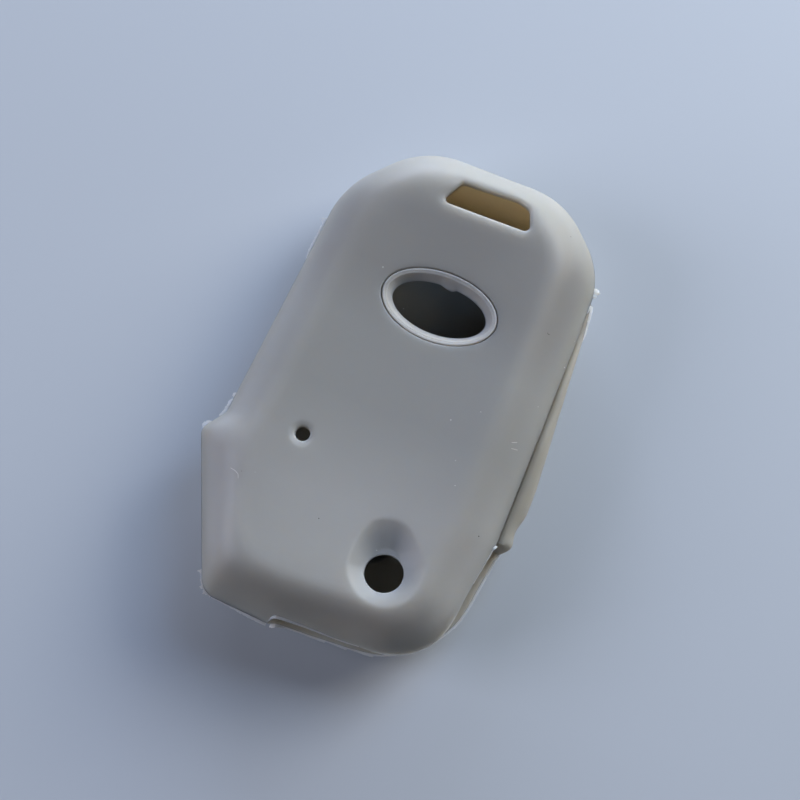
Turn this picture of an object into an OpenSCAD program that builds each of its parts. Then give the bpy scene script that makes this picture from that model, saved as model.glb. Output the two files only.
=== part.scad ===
// Soft silicone cover for a folding car key, empty, lying on its button side.
// It is one thin moulded skin: a button-side half, a badge-side half, and a blade slot and a slit
// along one side, so that part of the badge side bends open and the key can be slipped in.
// X runs across, Y towards the key-ring end, Z up from the button side to the badge side.

/* [Cover] */
// Length of the outline along Y
cover_len = 80; // [72:0.5:92]
// Width of the outline along X, over the left shoulder and its mirror image
cover_wide = 50; // [44:0.5:58]
// Moulded thickness from the button side to the top of the badge side, before that side hangs
cover_thick = 18.2; // [15:0.1:22]
// Height of the moulding line between the two halves
parting_height = 8.5; // [6:0.1:12]
// Thickness of the silicone skin
wall = 1.4; // [1:0.1:2.5]
// How far the badge side's rounding reaches in from the outline
back_rounding = 8.5; // [5:0.1:11]
// How far the button side's rounding reaches in from the outline
front_rounding = 6.5; // [4:0.1:9]
// Lean of both walls where they meet the moulding line, in degrees
wall_lean = 25; // [5:1:40]
// Rise of the crowned badge side over its own edge, as it is moulded
crown = 0.5; // [0:0.1:1.5]
// How far the badge side hangs down in its middle while no key holds it up
slack = 2; // [0:0.1:3]

/* [Badge side] */
// Width of the ring round the badge window
rim_wide = 18.5; // [14:0.1:24]
// Height of that ring along Y
rim_high = 11.3; // [8:0.1:16]
// Width of the ring's flat top face
rim_face = 0.75; // [0.4:0.05:2]
// Inward slope of the window's wall, from the top face to the inside
rim_slope = 1; // [0.2:0.1:2]
// Width of the fine groove outside the ring
rim_groove = 0.14; // [0.05:0.01:0.5]
// How far the ring stands over the skin
rim_proud = 0.1; // [0:0.05:0.5]
// Diameter of the release-button hole
release_hole = 5.7; // [4:0.1:8]
// Width of the dish round the release-button hole
dish_wide = 12.3; // [8:0.1:16]
// Depth of that dish
dish_depth = 0.8; // [0.2:0.1:1]
// Turn of the egg-shaped dish, in degrees
dish_turn = 22; // [-90:1:90]
// Diameter of the small indicator hole
small_hole = 2.2; // [1.5:0.1:4]

/* [Slot and slit] */
// Height of the blade slot
slot_high = 4.4; // [4.1:0.1:6]
// Width of the closed slit along the side
slit_gap = 0.3; // [0.1:0.05:1]
// Gap along the line where the badge side bends
fold_gap = 0.1; // [0.05:0.05:0.5]
// Greatest reach of the strip outside the slit
strip_reach = 2.2; // [1:0.1:3]
// Height of that strip
strip_high = 5; // [3:0.1:7]

/* [Button side] */
// Width of the sunk field that holds the buttons
field_wide = 21; // [18:0.5:26]
// Length of that field
field_long = 42; // [36:0.5:48]
// Depth of that field
field_depth = 0.5; // [0.2:0.1:0.8]
// Width of a button pad
pad_wide = 14; // [10:0.5:17]
// Height of a button pad along Y
pad_high = 9; // [7:0.5:10]
// Distance from one button pad to the next
pad_pitch = 12.5; // [11:0.5:14]
// How far the pads stay back from the face that the cover lies on
pad_back = 0.2; // [0.1:0.1:0.5]
// Width of the thin sloping web round a pad
web_wide = 1.3; // [1:0.1:2]
// Thickness of that web
web_thick = 0.4; // [0.3:0.1:0.8]
// Height from the web's edge at the pad up to its edge at the skin
web_height = 1; // [0.8:0.1:1.4]
// Diameter of the nub behind a pad
nub_dia = 3; // [2:0.1:5]
// Length of that nub
nub_len = 1; // [0.5:0.1:2]

/* [Finish] */
// Points on each rounded corner of the outline
corner_points = 6; // [3:1:12]
// Steps up each rounded side
side_steps = 6; // [3:1:12]

/* [Hidden] */
$fn = 64;
skin_color = "#b3b0aa";
rim_color = "#c6c6c3";
pad_color = "#a9a7a2";

half_wide = cover_wide / 2;
half_len = cover_len / 2;
small = 0.01;
reach = cover_len;

// Corners of the outline at the moulding line, counter-clockwise from the top right:
// across and along as shares of the half width and half length, then the radius as a share of the half width.
outline_shares = [
    [0.88, 0.76, 0.4], [0.504, 0.998, 0.4], [-0.464, 0.998, 0.36], [-0.856, 0.715, 0.32],
    [-0.936, -0.315, 0.088], [-1.038, -0.41, 0.072], [-0.616, -0.98, 0.14], [-0.18, -0.993, 0.12],
    [0.832, -0.932, 0.52], [0.932, -0.425, 0.2], [0.928, 0, 0.4]
];
outline = [for (s = outline_shares) [s[0] * half_wide, s[1] * half_len, s[2] * half_wide]];
// Middle of the crowned face, from which its inner rings shrink
crown_centre = [-0.04 * half_wide, 0];
crown_shares = [0.91, 0.78, 0.6, 0.4, 0.15];
// The stretch of the badge side that hangs: its middle, and its reach either way
slack_centre = [-0.02 * half_wide, -0.025 * half_len];
slack_reach = [0.612 * half_wide, 0.75 * half_len];

// Corners of the key-ring window, in the same shares as the outline
window_shares = [
    [0.388, 0.728, 0.036], [0.325, 0.81, 0.05], [0.26, 0.824, 0.05], [-0.112, 0.822, 0.04],
    [-0.188, 0.724, 0.03]
];
ring_window = [for (s = window_shares) [s[0] * half_wide, s[1] * half_len, s[2] * half_wide]];

rim_at = [0.052 * half_wide, 0.32 * half_len];
release_at = [0.36 * half_wide, -0.68 * half_len];
dish_at = [0.362 * half_wide, -0.652 * half_len];
small_hole_at = [-0.398 * half_wide, -0.32 * half_len];
dish_long = 1.19 * dish_wide;
dish_low_share = 0.466;
dish_points = 36;
rim_points = 48;

// The blade slot runs from here round the lower right corner, and the slit from there to the fold's end
slot_start = -0.172 * half_wide;
slot_end = -0.43 * half_len;
slot_floor = parting_height - slot_high / 2;
slot_roof = parting_height + slot_high / 2;
fold_low = [slot_start, -half_len];
fold_top = [0.88 * half_wide, 0.65 * half_len];
fold_angle = atan2(fold_top[1] - fold_low[1], fold_top[0] - fold_low[0]);

// Strip outside the slit: stations along Y as shares of the half length, then the reach as a share
strip_shares = [
    [0.69, 0.02], [0.5, 0.16], [0.3, 0.32], [0.1, 0.54], [-0.1, 0.78], [-0.2, 0.9], [-0.245, 0.96],
    [-0.28, 0.9], [-0.33, 0.52], [-0.36, 0.54], [-0.39, 0.68], [-0.408, 0.6], [-0.42, 0.1]
];
// Section of the strip: outward and upward shares
strip_section_shares = [[0, 0], [0.45, 0.12], [0.85, 0.38], [1, 0.68], [0.9, 0.9], [0.6, 1], [0, 1]];
strip_root = wall / 2;

field_at = [0, -0.18 * half_len];
field_corner = 0.2 * field_wide;
pad_corner = 0.4 * pad_high;
pad_edge = pad_high / 15;
web_low = 0.4 * wall;
front_floor = wall + field_depth;

// Ring arithmetic
function unit(v) = v / norm(v);
function turn(a, b) = atan2(a[0] * b[1] - a[1] * b[0], a * b);
function left_of(v) = [-v[1], v[0]];
function xy(p) = [p[0], p[1]];

// Corner i of a counter-clockwise corner list, moved inwards by d
function moved(list, i, d) =
    let (n = len(list), p = xy(list[i]))
    let (a = left_of(unit(p - xy(list[(i + n - 1) % n]))))
    let (b = left_of(unit(xy(list[(i + 1) % n]) - p)))
    p + d * (a + b) / (1 + a * b);

// Radius of a corner that is moved inwards by d: outer corners tighten slowly
function corner_radius(r, d) = max(r - 0.75 * d, min(r, 0.12 * half_wide));

// The rounded outline moved inwards by d, with the same number of points for every d
function ring(list, d = 0, steps = corner_points) =
    let (n = len(list), c = [for (i = [0 : n - 1]) moved(list, i, d)])
    [for (i = [0 : n - 1])
        let (into = unit(c[i] - c[(i + n - 1) % n]), out = unit(c[(i + 1) % n] - c[i]))
        let (bend = turn(into, out), side = sign(bend), r = corner_radius(list[i][2], d))
        let (start = c[i] - into * r * tan(abs(bend) / 2), middle = start + left_of(into) * side * r)
        for (k = [0 : steps - 1])
            middle + turned(start - middle, bend * k / (steps - 1))
    ];

function turned(v, a) = [v[0] * cos(a) - v[1] * sin(a), v[0] * sin(a) + v[1] * cos(a)];
function scaled(list, centre, s) = [for (p = list) centre + s * (p - centre)];
function lifted(list, z) = [for (p = list) [p[0], p[1], z]];
function flat_list(list) = [for (part = list) each part];
function ellipse_ring(centre, a, b, n) =
    [for (i = [0 : n - 1]) centre + [a * cos(360 * i / n), b * sin(360 * i / n)]];
function box_corners(centre, w, h, r) =
    [for (s = [[1, 1], [-1, 1], [-1, -1], [1, -1]]) [centre[0] + s[0] * w / 2, centre[1] + s[1] * h / 2, r]];

// Rounded side: how far in and how far up the surface is at normal angle t
function side_in(t, w) = w * (cos(wall_lean) - cos(t)) / cos(wall_lean);
function side_up(t, h) = h * (sin(t) - sin(wall_lean)) / (1 - sin(wall_lean));

// How far the slack badge side hangs below its moulded shape at a place in plan
function sag(share) = max(0, 1 - share * share);
function hang(p) =
    let (off = p - slack_centre)
    slack * sag(off[0] / slack_reach[0]) * sag(off[1] / slack_reach[1]);
// A list of plane points lifted to a height, less how far the skin hangs there
function hung(list, z) = [for (p = list) [p[0], p[1], z - hang(p)]];

// A ring of either half, where up is 1 for the badge side and -1 for the button side
function skin_ring(list, z, up) = up > 0 ? hung(list, z) : lifted(list, z);

// Rings of one surface of a half, from the moulding line to the middle: in is the inset at the line,
// and w and h are the rounding's reach and height
function skin_rings(in, w, h, up, rise) = concat(
    [for (k = [0 : side_steps])
        let (t = wall_lean + (90 - wall_lean) * k / side_steps)
        skin_ring(ring(outline, in + side_in(t, w)), parting_height + up * side_up(t, h), up)],
    [for (s = crown_shares)
        let (level = h + rise * (1 - s * s))
        skin_ring(scaled(ring(outline, in + w), crown_centre, s), parting_height + up * level, up)]
);
function skin_pole(h, up, rise) = skin_ring([crown_centre], parting_height + up * (h + rise), up)[0];

// Reverses a list
function backwards(list) = [for (i = [len(list) - 1 : -1 : 0]) list[i]];

// Closed solid from a start point, a chain of rings and an end point; flip turns its faces over
module chain_solid(start, rings, finish, flip) {
    n = len(rings[0]);
    m = len(rings);
    points = concat([start], flat_list(rings), [finish]);
    last = len(points) - 1;
    faces = concat(
        [for (i = [0 : n - 1]) [0, 1 + i, 1 + (i + 1) % n]],
        [for (k = [0 : m - 2]) for (i = [0 : n - 1]) for (half = [0, 1])
            let (a = 1 + k * n + i, b = 1 + k * n + (i + 1) % n, c = a + n, d = b + n)
            half == 0 ? [a, c, b] : [b, c, d]],
        [for (i = [0 : n - 1]) [last, 1 + (m - 1) * n + (i + 1) % n, 1 + (m - 1) * n + i]]
    );
    polyhedron(points, flip ? [for (f = faces) backwards(f)] : faces);
}

// Closed solid from a loop of rings, like a tyre
module loop_solid(rings) {
    n = len(rings[0]);
    m = len(rings);
    faces = [for (k = [0 : m - 1]) for (i = [0 : n - 1]) for (half = [0, 1])
        let (a = k * n + i, b = k * n + (i + 1) % n, c = ((k + 1) % m) * n + i, d = ((k + 1) % m) * n + (i + 1) % n)
        half == 0 ? [a, c, b] : [b, c, d]];
    polyhedron(flat_list(rings), faces);
}

// One whole half as a cup-shaped skin
module half_skin(height, rounding, up, rise, floor_wall) {
    outer = skin_rings(0, rounding, height, up, rise);
    inner = skin_rings(wall, rounding - wall / 2, height - floor_wall, up, rise);
    chain_solid(skin_pole(height, up, rise), concat(backwards(outer), inner),
        skin_pole(height - floor_wall, up, rise), up > 0);
}

// Upright prism on a rounded corner list
module prism(list, low, high, grow = 0) {
    translate([0, 0, low]) linear_extrude(high - low) polygon(ring(list, -grow));
}

// Plan of the end wall and corner that the blade slot cuts
module slot_plan() {
    polygon([
        [slot_start, -reach], [reach, -reach], [reach, slot_end], [half_wide / 2, slot_end],
        [slot_start, -0.75 * half_len]
    ]);
}

// Everything on the bending side of the fold line, moved away from it by away
module fold_side(away) {
    translate([fold_low[0], fold_low[1], -small])
        rotate(fold_angle)
            translate([-reach, -reach - away, 0])
                cube([3 * reach, reach, 2 * cover_thick]);
}

// The dish keeps a level floor, and its wall follows the hanging skin towards its edge
module dish() {
    floor_height = cover_thick - crown / 2 - dish_depth;
    // Steps of the dish from its floor up: share of its size, share of its depth
    dish_shares = [[0.56, 0], [0.66, 0.12], [0.78, 0.4], [0.9, 0.75], [1, 1], [1.2, 2.4]];
    rings = [for (s = dish_shares)
        [for (i = [0 : dish_points - 1])
            let (a = 360 * i / dish_points, tall = sin(a) > 0 ? 1 - dish_low_share : dish_low_share)
            let (p = turned([s[0] * dish_wide / 2 * cos(a), s[0] * dish_long * tall * sin(a)], dish_turn))
            let (drop = hang(dish_at + min(1, s[1]) * p))
            [dish_at[0] + p[0], dish_at[1] + p[1], floor_height + s[1] * dish_depth - drop]]];
    chain_solid([dish_at[0], dish_at[1], floor_height - hang(dish_at)], rings,
        [dish_at[0], dish_at[1], floor_height + 2.4 * dish_depth], false);
}

// The badge-side half, whole
module back_half() {
    difference() {
        half_skin(cover_thick - crown - parting_height, back_rounding, 1, crown, wall);
        translate([0, 0, parting_height]) linear_extrude(slot_roof - parting_height) slot_plan();
        prism(ring_window, parting_height + slot_high, cover_thick + wall);
        translate([0, 0, parting_height + slot_high])
            linear_extrude(cover_thick) polygon(ellipse_ring(rim_at, rim_wide / 2, rim_high / 2, rim_points));
        translate([small_hole_at[0], small_hole_at[1], parting_height + slot_high])
            cylinder(d = small_hole, h = cover_thick);
        translate([release_at[0], release_at[1], parting_height + slot_high])
            cylinder(d = release_hole, h = cover_thick);
        dish();
    }
}

module back_shell() {
    color(skin_color) difference() {
        back_half();
        fold_side(0);
    }
}

module back_flap() {
    color(skin_color) difference() {
        intersection() {
            back_half();
            fold_side(fold_gap);
        }
        translate([0, -reach, parting_height - small]) cube([reach, 2 * reach, slit_gap + small]);
    }
}

module emblem_rim() {
    top = cover_thick + rim_proud;
    low = cover_thick - crown - wall + 2 * rim_proud;
    mid = top - 3.5 * rim_groove;
    // Width, height and level of each edge of the ring's section
    edges = [
        [rim_wide / 2, rim_high / 2, low], [rim_wide / 2, rim_high / 2, mid],
        [rim_wide / 2 - rim_groove, rim_high / 2 - rim_groove, mid],
        [rim_wide / 2 - rim_groove, rim_high / 2 - rim_groove, top],
        [rim_wide / 2 - rim_face, rim_high / 2 - rim_face, top],
        [rim_wide / 2 - rim_face - rim_slope, rim_high / 2 - rim_face - rim_slope, low]
    ];
    color(rim_color)
        loop_solid([for (e = edges) hung(ellipse_ring(rim_at, e[0], e[1], rim_points), e[2])]);
}

// Strip of skin that rolls outwards below the slit, thickest near the blade slot
module side_strip() {
    n = len(strip_section_shares);
    function side_x(y) = y > 0
        ? outline[10][0] + (outline[0][0] - outline[10][0]) * y / outline[0][1]
        : outline[10][0] + (outline[9][0] - outline[10][0]) * y / outline[9][1];
    rings = [for (s = strip_shares)
        let (y = s[0] * half_len, x = side_x(y) - strip_root, out = s[1] * strip_reach + strip_root)
        [for (q = strip_section_shares)
            [x + q[0] * out, y, parting_height - strip_high + q[1] * strip_high]]];
    first = rings[0];
    end = rings[len(rings) - 1];
    chain_solid([first[0][0] + small, first[0][1], parting_height - strip_high / 2], rings,
        [end[0][0] + small, end[0][1], parting_height - strip_high / 2], false);
}

// Corner list of pad i: 0 is the lock button, 1 unlock, 2 boot
function pad_at(i) = [field_at[0], field_at[1] + (1 - i) * pad_pitch];
function pad_corners(i) = box_corners(pad_at(i), pad_wide, pad_high, pad_corner);

module front_shell() {
    color(skin_color) difference() {
        union() {
            half_skin(parting_height, front_rounding, -1, 0, front_floor);
            side_strip();
        }
        translate([0, 0, slot_floor]) linear_extrude(slot_high) slot_plan();
        prism(ring_window, -wall, parting_height / 2);
        prism(box_corners(field_at, field_wide, field_long, field_corner), -wall, field_depth);
        for (i = [0 : 2]) prism(pad_corners(i), -wall, 2 * front_floor, web_wide);
    }
}

// A pad with rounded edges and a nub behind it that presses the key's own button
module pad(i) {
    list = pad_corners(i);
    top = front_floor + pad_back;
    middle = pad_at(i);
    levels = [[pad_edge, pad_back], [0.3 * pad_edge, pad_back + 0.3 * pad_edge], [0, pad_back + pad_edge], [0, top]];
    color(pad_color) union() {
        chain_solid([middle[0], middle[1], pad_back], [for (v = levels) lifted(ring(list, v[0]), v[1])],
            [middle[0], middle[1], top], false);
        translate([middle[0], middle[1], top - small]) cylinder(d = nub_dia, h = nub_len + small);
    }
}

// The thin web between a pad and the skin: it slopes, so that the pad can sink
module web(i) {
    list = pad_corners(i);
    high = web_low + web_height;
    color(skin_color) loop_solid([
        lifted(ring(list, 0), web_low), lifted(ring(list, 0), web_low + web_thick),
        lifted(ring(list, -web_wide), high + web_thick), lifted(ring(list, -web_wide), high)
    ]);
}

module lock_pad() { pad(0); }
module unlock_pad() { pad(1); }
module boot_pad() { pad(2); }
module lock_web() { web(0); }
module unlock_web() { web(1); }
module boot_web() { web(2); }

front_shell();
back_shell();
back_flap();
emblem_rim();
lock_pad();
unlock_pad();
boot_pad();
lock_web();
unlock_web();
boot_web();
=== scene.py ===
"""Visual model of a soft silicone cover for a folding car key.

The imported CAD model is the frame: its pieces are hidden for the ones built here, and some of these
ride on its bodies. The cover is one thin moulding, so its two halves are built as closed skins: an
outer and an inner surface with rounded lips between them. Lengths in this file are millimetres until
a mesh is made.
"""

import logging
import math
from abc import ABC, abstractmethod
from dataclasses import dataclass, field
from enum import Enum
from typing import Any, Sequence

import bmesh
import bpy
import numpy as np
from bpy.types import Material, Node, NodeSocket, NodeTree, Object
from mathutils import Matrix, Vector
from mathutils.bvhtree import BVHTree
from mathutils.geometry import delaunay_2d_cdt

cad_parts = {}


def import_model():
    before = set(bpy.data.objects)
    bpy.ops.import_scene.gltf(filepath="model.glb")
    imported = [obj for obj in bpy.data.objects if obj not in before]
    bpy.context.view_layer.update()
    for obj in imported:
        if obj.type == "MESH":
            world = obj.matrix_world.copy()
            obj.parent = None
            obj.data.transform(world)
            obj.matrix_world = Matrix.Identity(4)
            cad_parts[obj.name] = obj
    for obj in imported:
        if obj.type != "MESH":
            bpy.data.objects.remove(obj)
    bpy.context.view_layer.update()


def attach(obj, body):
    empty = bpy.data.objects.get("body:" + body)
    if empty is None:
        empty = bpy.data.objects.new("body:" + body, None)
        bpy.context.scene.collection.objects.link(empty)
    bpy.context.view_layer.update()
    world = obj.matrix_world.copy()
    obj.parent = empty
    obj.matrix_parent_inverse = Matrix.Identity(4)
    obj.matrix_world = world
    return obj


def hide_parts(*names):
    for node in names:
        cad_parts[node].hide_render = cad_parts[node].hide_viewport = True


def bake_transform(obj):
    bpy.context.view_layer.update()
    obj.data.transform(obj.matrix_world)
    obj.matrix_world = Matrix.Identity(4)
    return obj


LOG = logging.getLogger("key_cover")
MM = 0.001
SEED = 41
# Squared length below which an edge counts as a point, and distance at which points of a plan merge
TINY = 1e-12
MERGE = 1e-7


# Numbers and colours


def hex_to_linear(code: str) -> tuple[float, float, float, float]:
    """Turns an sRGB hex colour into linear red, green, blue and alpha.

    Args:
        code: Six hex digits, with or without a leading hash.

    Returns:
        The linear colour with an alpha of 1.
    """
    digits = code.lstrip("#")
    parts = [int(digits[i : i + 2], 16) / 255 for i in (0, 2, 4)]
    red, green, blue = [c / 12.92 if c <= 0.04045 else ((c + 0.055) / 1.055) ** 2.4 for c in parts]
    return red, green, blue, 1.0


def smooth(value: np.ndarray | float) -> np.ndarray:
    """Returns the smooth step of a value, from 0 at 0 to 1 at 1."""
    t = np.clip(value, 0.0, 1.0)
    return t * t * (3.0 - 2.0 * t)


def unit(vector: np.ndarray) -> np.ndarray:
    """Returns a vector of length 1 in the same direction."""
    return vector / np.linalg.norm(vector)


# Plane outlines


@dataclass(frozen=True)
class RoundedLoop:
    """A closed counter-clockwise outline with rounded corners.

    Attributes:
        corners: Corner x, y and radius.
        spacing: Greatest step between points on a straight edge.
        arc_points: Points on each rounded corner.
        least_radius: Radius below which a corner doesn't tighten inwards.
        tighten: How much a corner's radius shrinks per millimetre inwards.
    """

    corners: tuple[tuple[float, float, float], ...]
    spacing: float = 0.5
    arc_points: int = 14
    least_radius: float = 3.0
    tighten: float = 0.75

    def inset(self, depth: float) -> np.ndarray:
        """Moves the outline inwards.

        Args:
            depth: Distance inwards, or outwards if it is negative.

        Returns:
            The points, as many for every depth.
        """
        points: list[np.ndarray] = []
        corners = self._moved(depth)
        arcs = [self._arc(corners, i, depth) for i in range(len(corners))]
        for arc, following, steps in zip(arcs, arcs[1:] + arcs[:1], self._edge_steps()):
            points.extend(arc)
            for k in range(1, steps):
                points.append(arc[-1] + (following[0] - arc[-1]) * k / steps)
        return np.array(points)

    def _moved(self, depth: float) -> np.ndarray:
        """Moves the corners inwards along their mitres.

        Args:
            depth: Distance inwards.

        Returns:
            The moved corners.
        """
        flat = np.array([c[:2] for c in self.corners])
        moved = []
        for i, corner in enumerate(flat):
            before = unit(corner - flat[i - 1])
            after = unit(flat[(i + 1) % len(flat)] - corner)
            a = np.array([-before[1], before[0]])
            b = np.array([-after[1], after[0]])
            moved.append(corner + depth * (a + b) / (1.0 + a @ b))
        return np.array(moved)

    def _arc(self, corners: np.ndarray, i: int, depth: float) -> list[np.ndarray]:
        """Rounds one corner.

        Args:
            corners: The moved corners.
            i: The corner's number.
            depth: How far in the outline was moved.

        Returns:
            The points along its arc.
        """
        into = unit(corners[i] - corners[i - 1])
        out = unit(corners[(i + 1) % len(corners)] - corners[i])
        bend = math.atan2(into[0] * out[1] - into[1] * out[0], float(into @ out))
        own = self.corners[i][2]
        radius = max(own - self.tighten * depth, min(own, self.least_radius))
        start = corners[i] - into * radius * math.tan(abs(bend) / 2)
        middle = start + np.array([-into[1], into[0]]) * math.copysign(radius, bend)
        arm = start - middle
        arc = []
        for k in range(self.arc_points):
            t = bend * k / (self.arc_points - 1)
            x = arm[0] * math.cos(t) - arm[1] * math.sin(t)
            y = arm[0] * math.sin(t) + arm[1] * math.cos(t)
            arc.append(middle + np.array([x, y]))
        return arc

    def _edge_steps(self) -> list[int]:
        """Counts the steps that each straight edge is cut into.

        Returns:
            The counts.
        """
        flat = [np.array(c[:2]) for c in self.corners]
        return [
            max(1, round(float(np.linalg.norm(b - a)) / self.spacing))
            for a, b in zip(flat, flat[1:] + flat[:1])
        ]


def rounded_box(
    middle: tuple[float, float], half_x: float, half_y: float, radius: float,
    spacing: float = 0.8, arc_points: int = 12,
) -> RoundedLoop:
    """Draws a rectangle with rounded corners.

    Args:
        middle: Its middle.
        half_x: Half its width.
        half_y: Half its height.
        radius: Radius of its corners.
        spacing: Greatest step between points on its sides.
        arc_points: Points on each corner.

    Returns:
        The outline.
    """
    signs = ((1, 1), (-1, 1), (-1, -1), (1, -1))
    corners = tuple((middle[0] + x * half_x, middle[1] + y * half_y, radius) for x, y in signs)
    return RoundedLoop(corners, spacing, arc_points, least_radius=min(radius, 1.0))


@dataclass(frozen=True)
class Oval:
    """An ellipse along the axes.

    Attributes:
        centre: Middle point.
        half_x: Half its width.
        half_y: Half its height.
        points: Points round it.
    """

    centre: tuple[float, float]
    half_x: float
    half_y: float
    points: int = 96

    def inset(self, depth: float) -> np.ndarray:
        """Moves the ellipse inwards.

        Args:
            depth: Distance inwards, or outwards if it is negative.

        Returns:
            The points.
        """
        turn = np.linspace(0.0, 2.0 * math.pi, self.points, endpoint=False)
        x = self.centre[0] + (self.half_x - depth) * np.cos(turn)
        y = self.centre[1] + (self.half_y - depth) * np.sin(turn)
        return np.stack([x, y], axis=1)


@dataclass(frozen=True)
class Egg:
    """The egg-shaped edge of the dish round the release-button hole.

    Attributes:
        centre: Middle of its widest line.
        half_wide: Half its width.
        up: Its length above that line.
        down: Its length below that line.
        turn: Its turn in degrees.
        taper: How much narrower its far end is, as a share.
        square: How square its far half is: 2 for a plain ellipse.
    """

    centre: tuple[float, float]
    half_wide: float
    up: float
    down: float
    turn: float
    taper: float = 0.27
    square: float = 2.5

    def share(self, points: np.ndarray) -> np.ndarray:
        """Measures how far out each point is, as a share of the egg.

        Args:
            points: Plane points.

        Returns:
            The shares: 0 in the middle and 1 on the edge.
        """
        angle = math.radians(self.turn)
        offset = points - np.array(self.centre)
        x = offset[:, 0] * math.cos(angle) + offset[:, 1] * math.sin(angle)
        y = -offset[:, 0] * math.sin(angle) + offset[:, 1] * math.cos(angle)
        wide = self.half_wide * (1.0 - self.taper * np.clip(y / self.up, 0.0, 1.0))
        power = np.where(y > 0, self.square, 2.0)
        along = np.abs(y) / np.where(y > 0, self.up, self.down)
        return ((np.abs(x) / wide) ** power + along**power) ** (1.0 / power)


def edge_distance(points: np.ndarray, loop: np.ndarray) -> np.ndarray:
    """Measures how far points are from a closed loop.

    Args:
        points: Points to measure.
        loop: The loop's points.

    Returns:
        The distances, negative inside the loop.
    """
    best = np.full(len(points), np.inf)
    inside = np.zeros(len(points), dtype=bool)
    for a, b in zip(loop, np.roll(loop, -1, axis=0)):
        edge = b - a
        t = np.clip(((points - a) @ edge) / max(float(edge @ edge), TINY), 0.0, 1.0)
        gap = points - a - t[:, None] * edge
        best = np.minimum(best, (gap * gap).sum(axis=1))
        if a[1] != b[1]:
            crosses = (a[1] > points[:, 1]) != (b[1] > points[:, 1])
            at = a[0] + (points[:, 1] - a[1]) * edge[0] / edge[1]
            inside ^= crosses & (points[:, 0] < at)
    return np.where(inside, -1.0, 1.0) * np.sqrt(best)


def hex_points(low: Sequence[float], high: Sequence[float], step: float) -> np.ndarray:
    """Spreads an even triangular pattern over a rectangle.

    Args:
        low: Its lower left corner.
        high: Its upper right corner.
        step: Distance between points.

    Returns:
        The points.
    """
    rows = np.arange(low[1], high[1], step * math.sqrt(3) / 2)
    columns = np.arange(low[0], high[0], step)
    return np.array([(x + (i % 2) * step / 2, y) for i, y in enumerate(rows) for x in columns])


# Meshes


@dataclass
class MeshParts:
    """Collects the points and faces of one mesh, in millimetres.

    Attributes:
        points: Blocks of points.
        faces: Faces, as point numbers.
        count: Number of points so far.
    """

    points: list[np.ndarray] = field(default_factory=list)
    faces: list[tuple[int, ...]] = field(default_factory=list)
    count: int = 0

    def add_points(self, points: np.ndarray) -> np.ndarray:
        """Adds points.

        Args:
            points: The points.

        Returns:
            Their numbers in the mesh.
        """
        first = self.count
        self.points.append(np.asarray(points, dtype=float))
        self.count += len(points)
        return np.arange(first, self.count)

    def add_surface(self, points: np.ndarray, faces: np.ndarray) -> np.ndarray:
        """Adds a surface.

        Args:
            points: Its points.
            faces: Its faces, counted from its own first point.

        Returns:
            Its points' numbers in the mesh.
        """
        numbers = self.add_points(points)
        self.faces.extend(tuple(int(numbers[i]) for i in face) for face in faces)
        return numbers

    def bridge(self, loops: Sequence[np.ndarray], closed: bool = False) -> None:
        """Joins each loop of point numbers to the next by quads.

        Args:
            loops: Loops of equal length.
            closed: Whether the last loop joins the first.
        """
        pairs = list(zip(loops, loops[1:]))
        if closed:
            pairs.append((loops[-1], loops[0]))
        for a, b in pairs:
            for i in range(len(a)):
                j = (i + 1) % len(a)
                self.faces.append((int(a[i]), int(a[j]), int(b[j]), int(b[i])))

    def cap(self, loop: np.ndarray, middle: Sequence[float]) -> None:
        """Closes a loop of point numbers with triangles to a middle point.

        Args:
            loop: The loop.
            middle: The middle point.
        """
        centre = int(self.add_points(np.array([middle]))[0])
        for i in range(len(loop)):
            self.faces.append((int(loop[i]), int(loop[(i + 1) % len(loop)]), centre))

    def to_object(self, name: str, finish: Material, sharp: float = 50.0) -> Object:
        """Makes the Blender object.

        Args:
            name: The piece's name.
            finish: Its material.
            sharp: Angle in degrees above which an edge stays sharp.

        Returns:
            The new object, with its normals turned outwards.
        """
        mesh = bpy.data.meshes.new(name)
        mesh.from_pydata((np.concatenate(self.points) * MM).tolist(), [], self.faces)
        work = bmesh.new()
        work.from_mesh(mesh)
        bmesh.ops.recalc_face_normals(work, faces=work.faces)
        work.to_mesh(mesh)
        work.free()
        mesh.shade_smooth()
        mesh.set_sharp_from_angle(angle=math.radians(sharp))
        mesh.materials.append(finish)
        piece = bpy.data.objects.new(name, mesh)
        bpy.context.scene.collection.objects.link(piece)
        return piece


def fill_plan(
    loops: Sequence[np.ndarray], fill: np.ndarray
) -> tuple[np.ndarray, np.ndarray, list[np.ndarray], np.ndarray]:
    """Cuts the area inside the first loop and outside the others into triangles.

    Args:
        loops: Closed loops of plane points.
        fill: Further points, all inside the area.

    Returns:
        The points, the triangles, each loop's point numbers, and the fill's point numbers.
    """
    flat = np.concatenate([*loops, fill])
    edges: list[tuple[int, int]] = []
    spans: list[range] = []
    first = 0
    for loop in loops:
        n = len(loop)
        edges.extend((first + i, first + (i + 1) % n) for i in range(n))
        spans.append(range(first, first + n))
        first += n
    found = delaunay_2d_cdt([Vector(p) for p in flat], edges, [], 0, MERGE)
    points = np.array([v[:] for v in found[0]])
    faces = np.array(found[2], dtype=int)
    place = np.zeros(len(flat), dtype=int)
    for number, sources in enumerate(found[3]):
        for source in sources:
            place[source] = number
    middles = points[faces].mean(axis=1)
    keep = edge_distance(middles, loops[0]) < 0
    for loop in loops[1:]:
        keep &= edge_distance(middles, loop) > 0
    return points, faces[keep], [place[list(span)] for span in spans], place[first:]


# Shape of the skin


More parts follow.
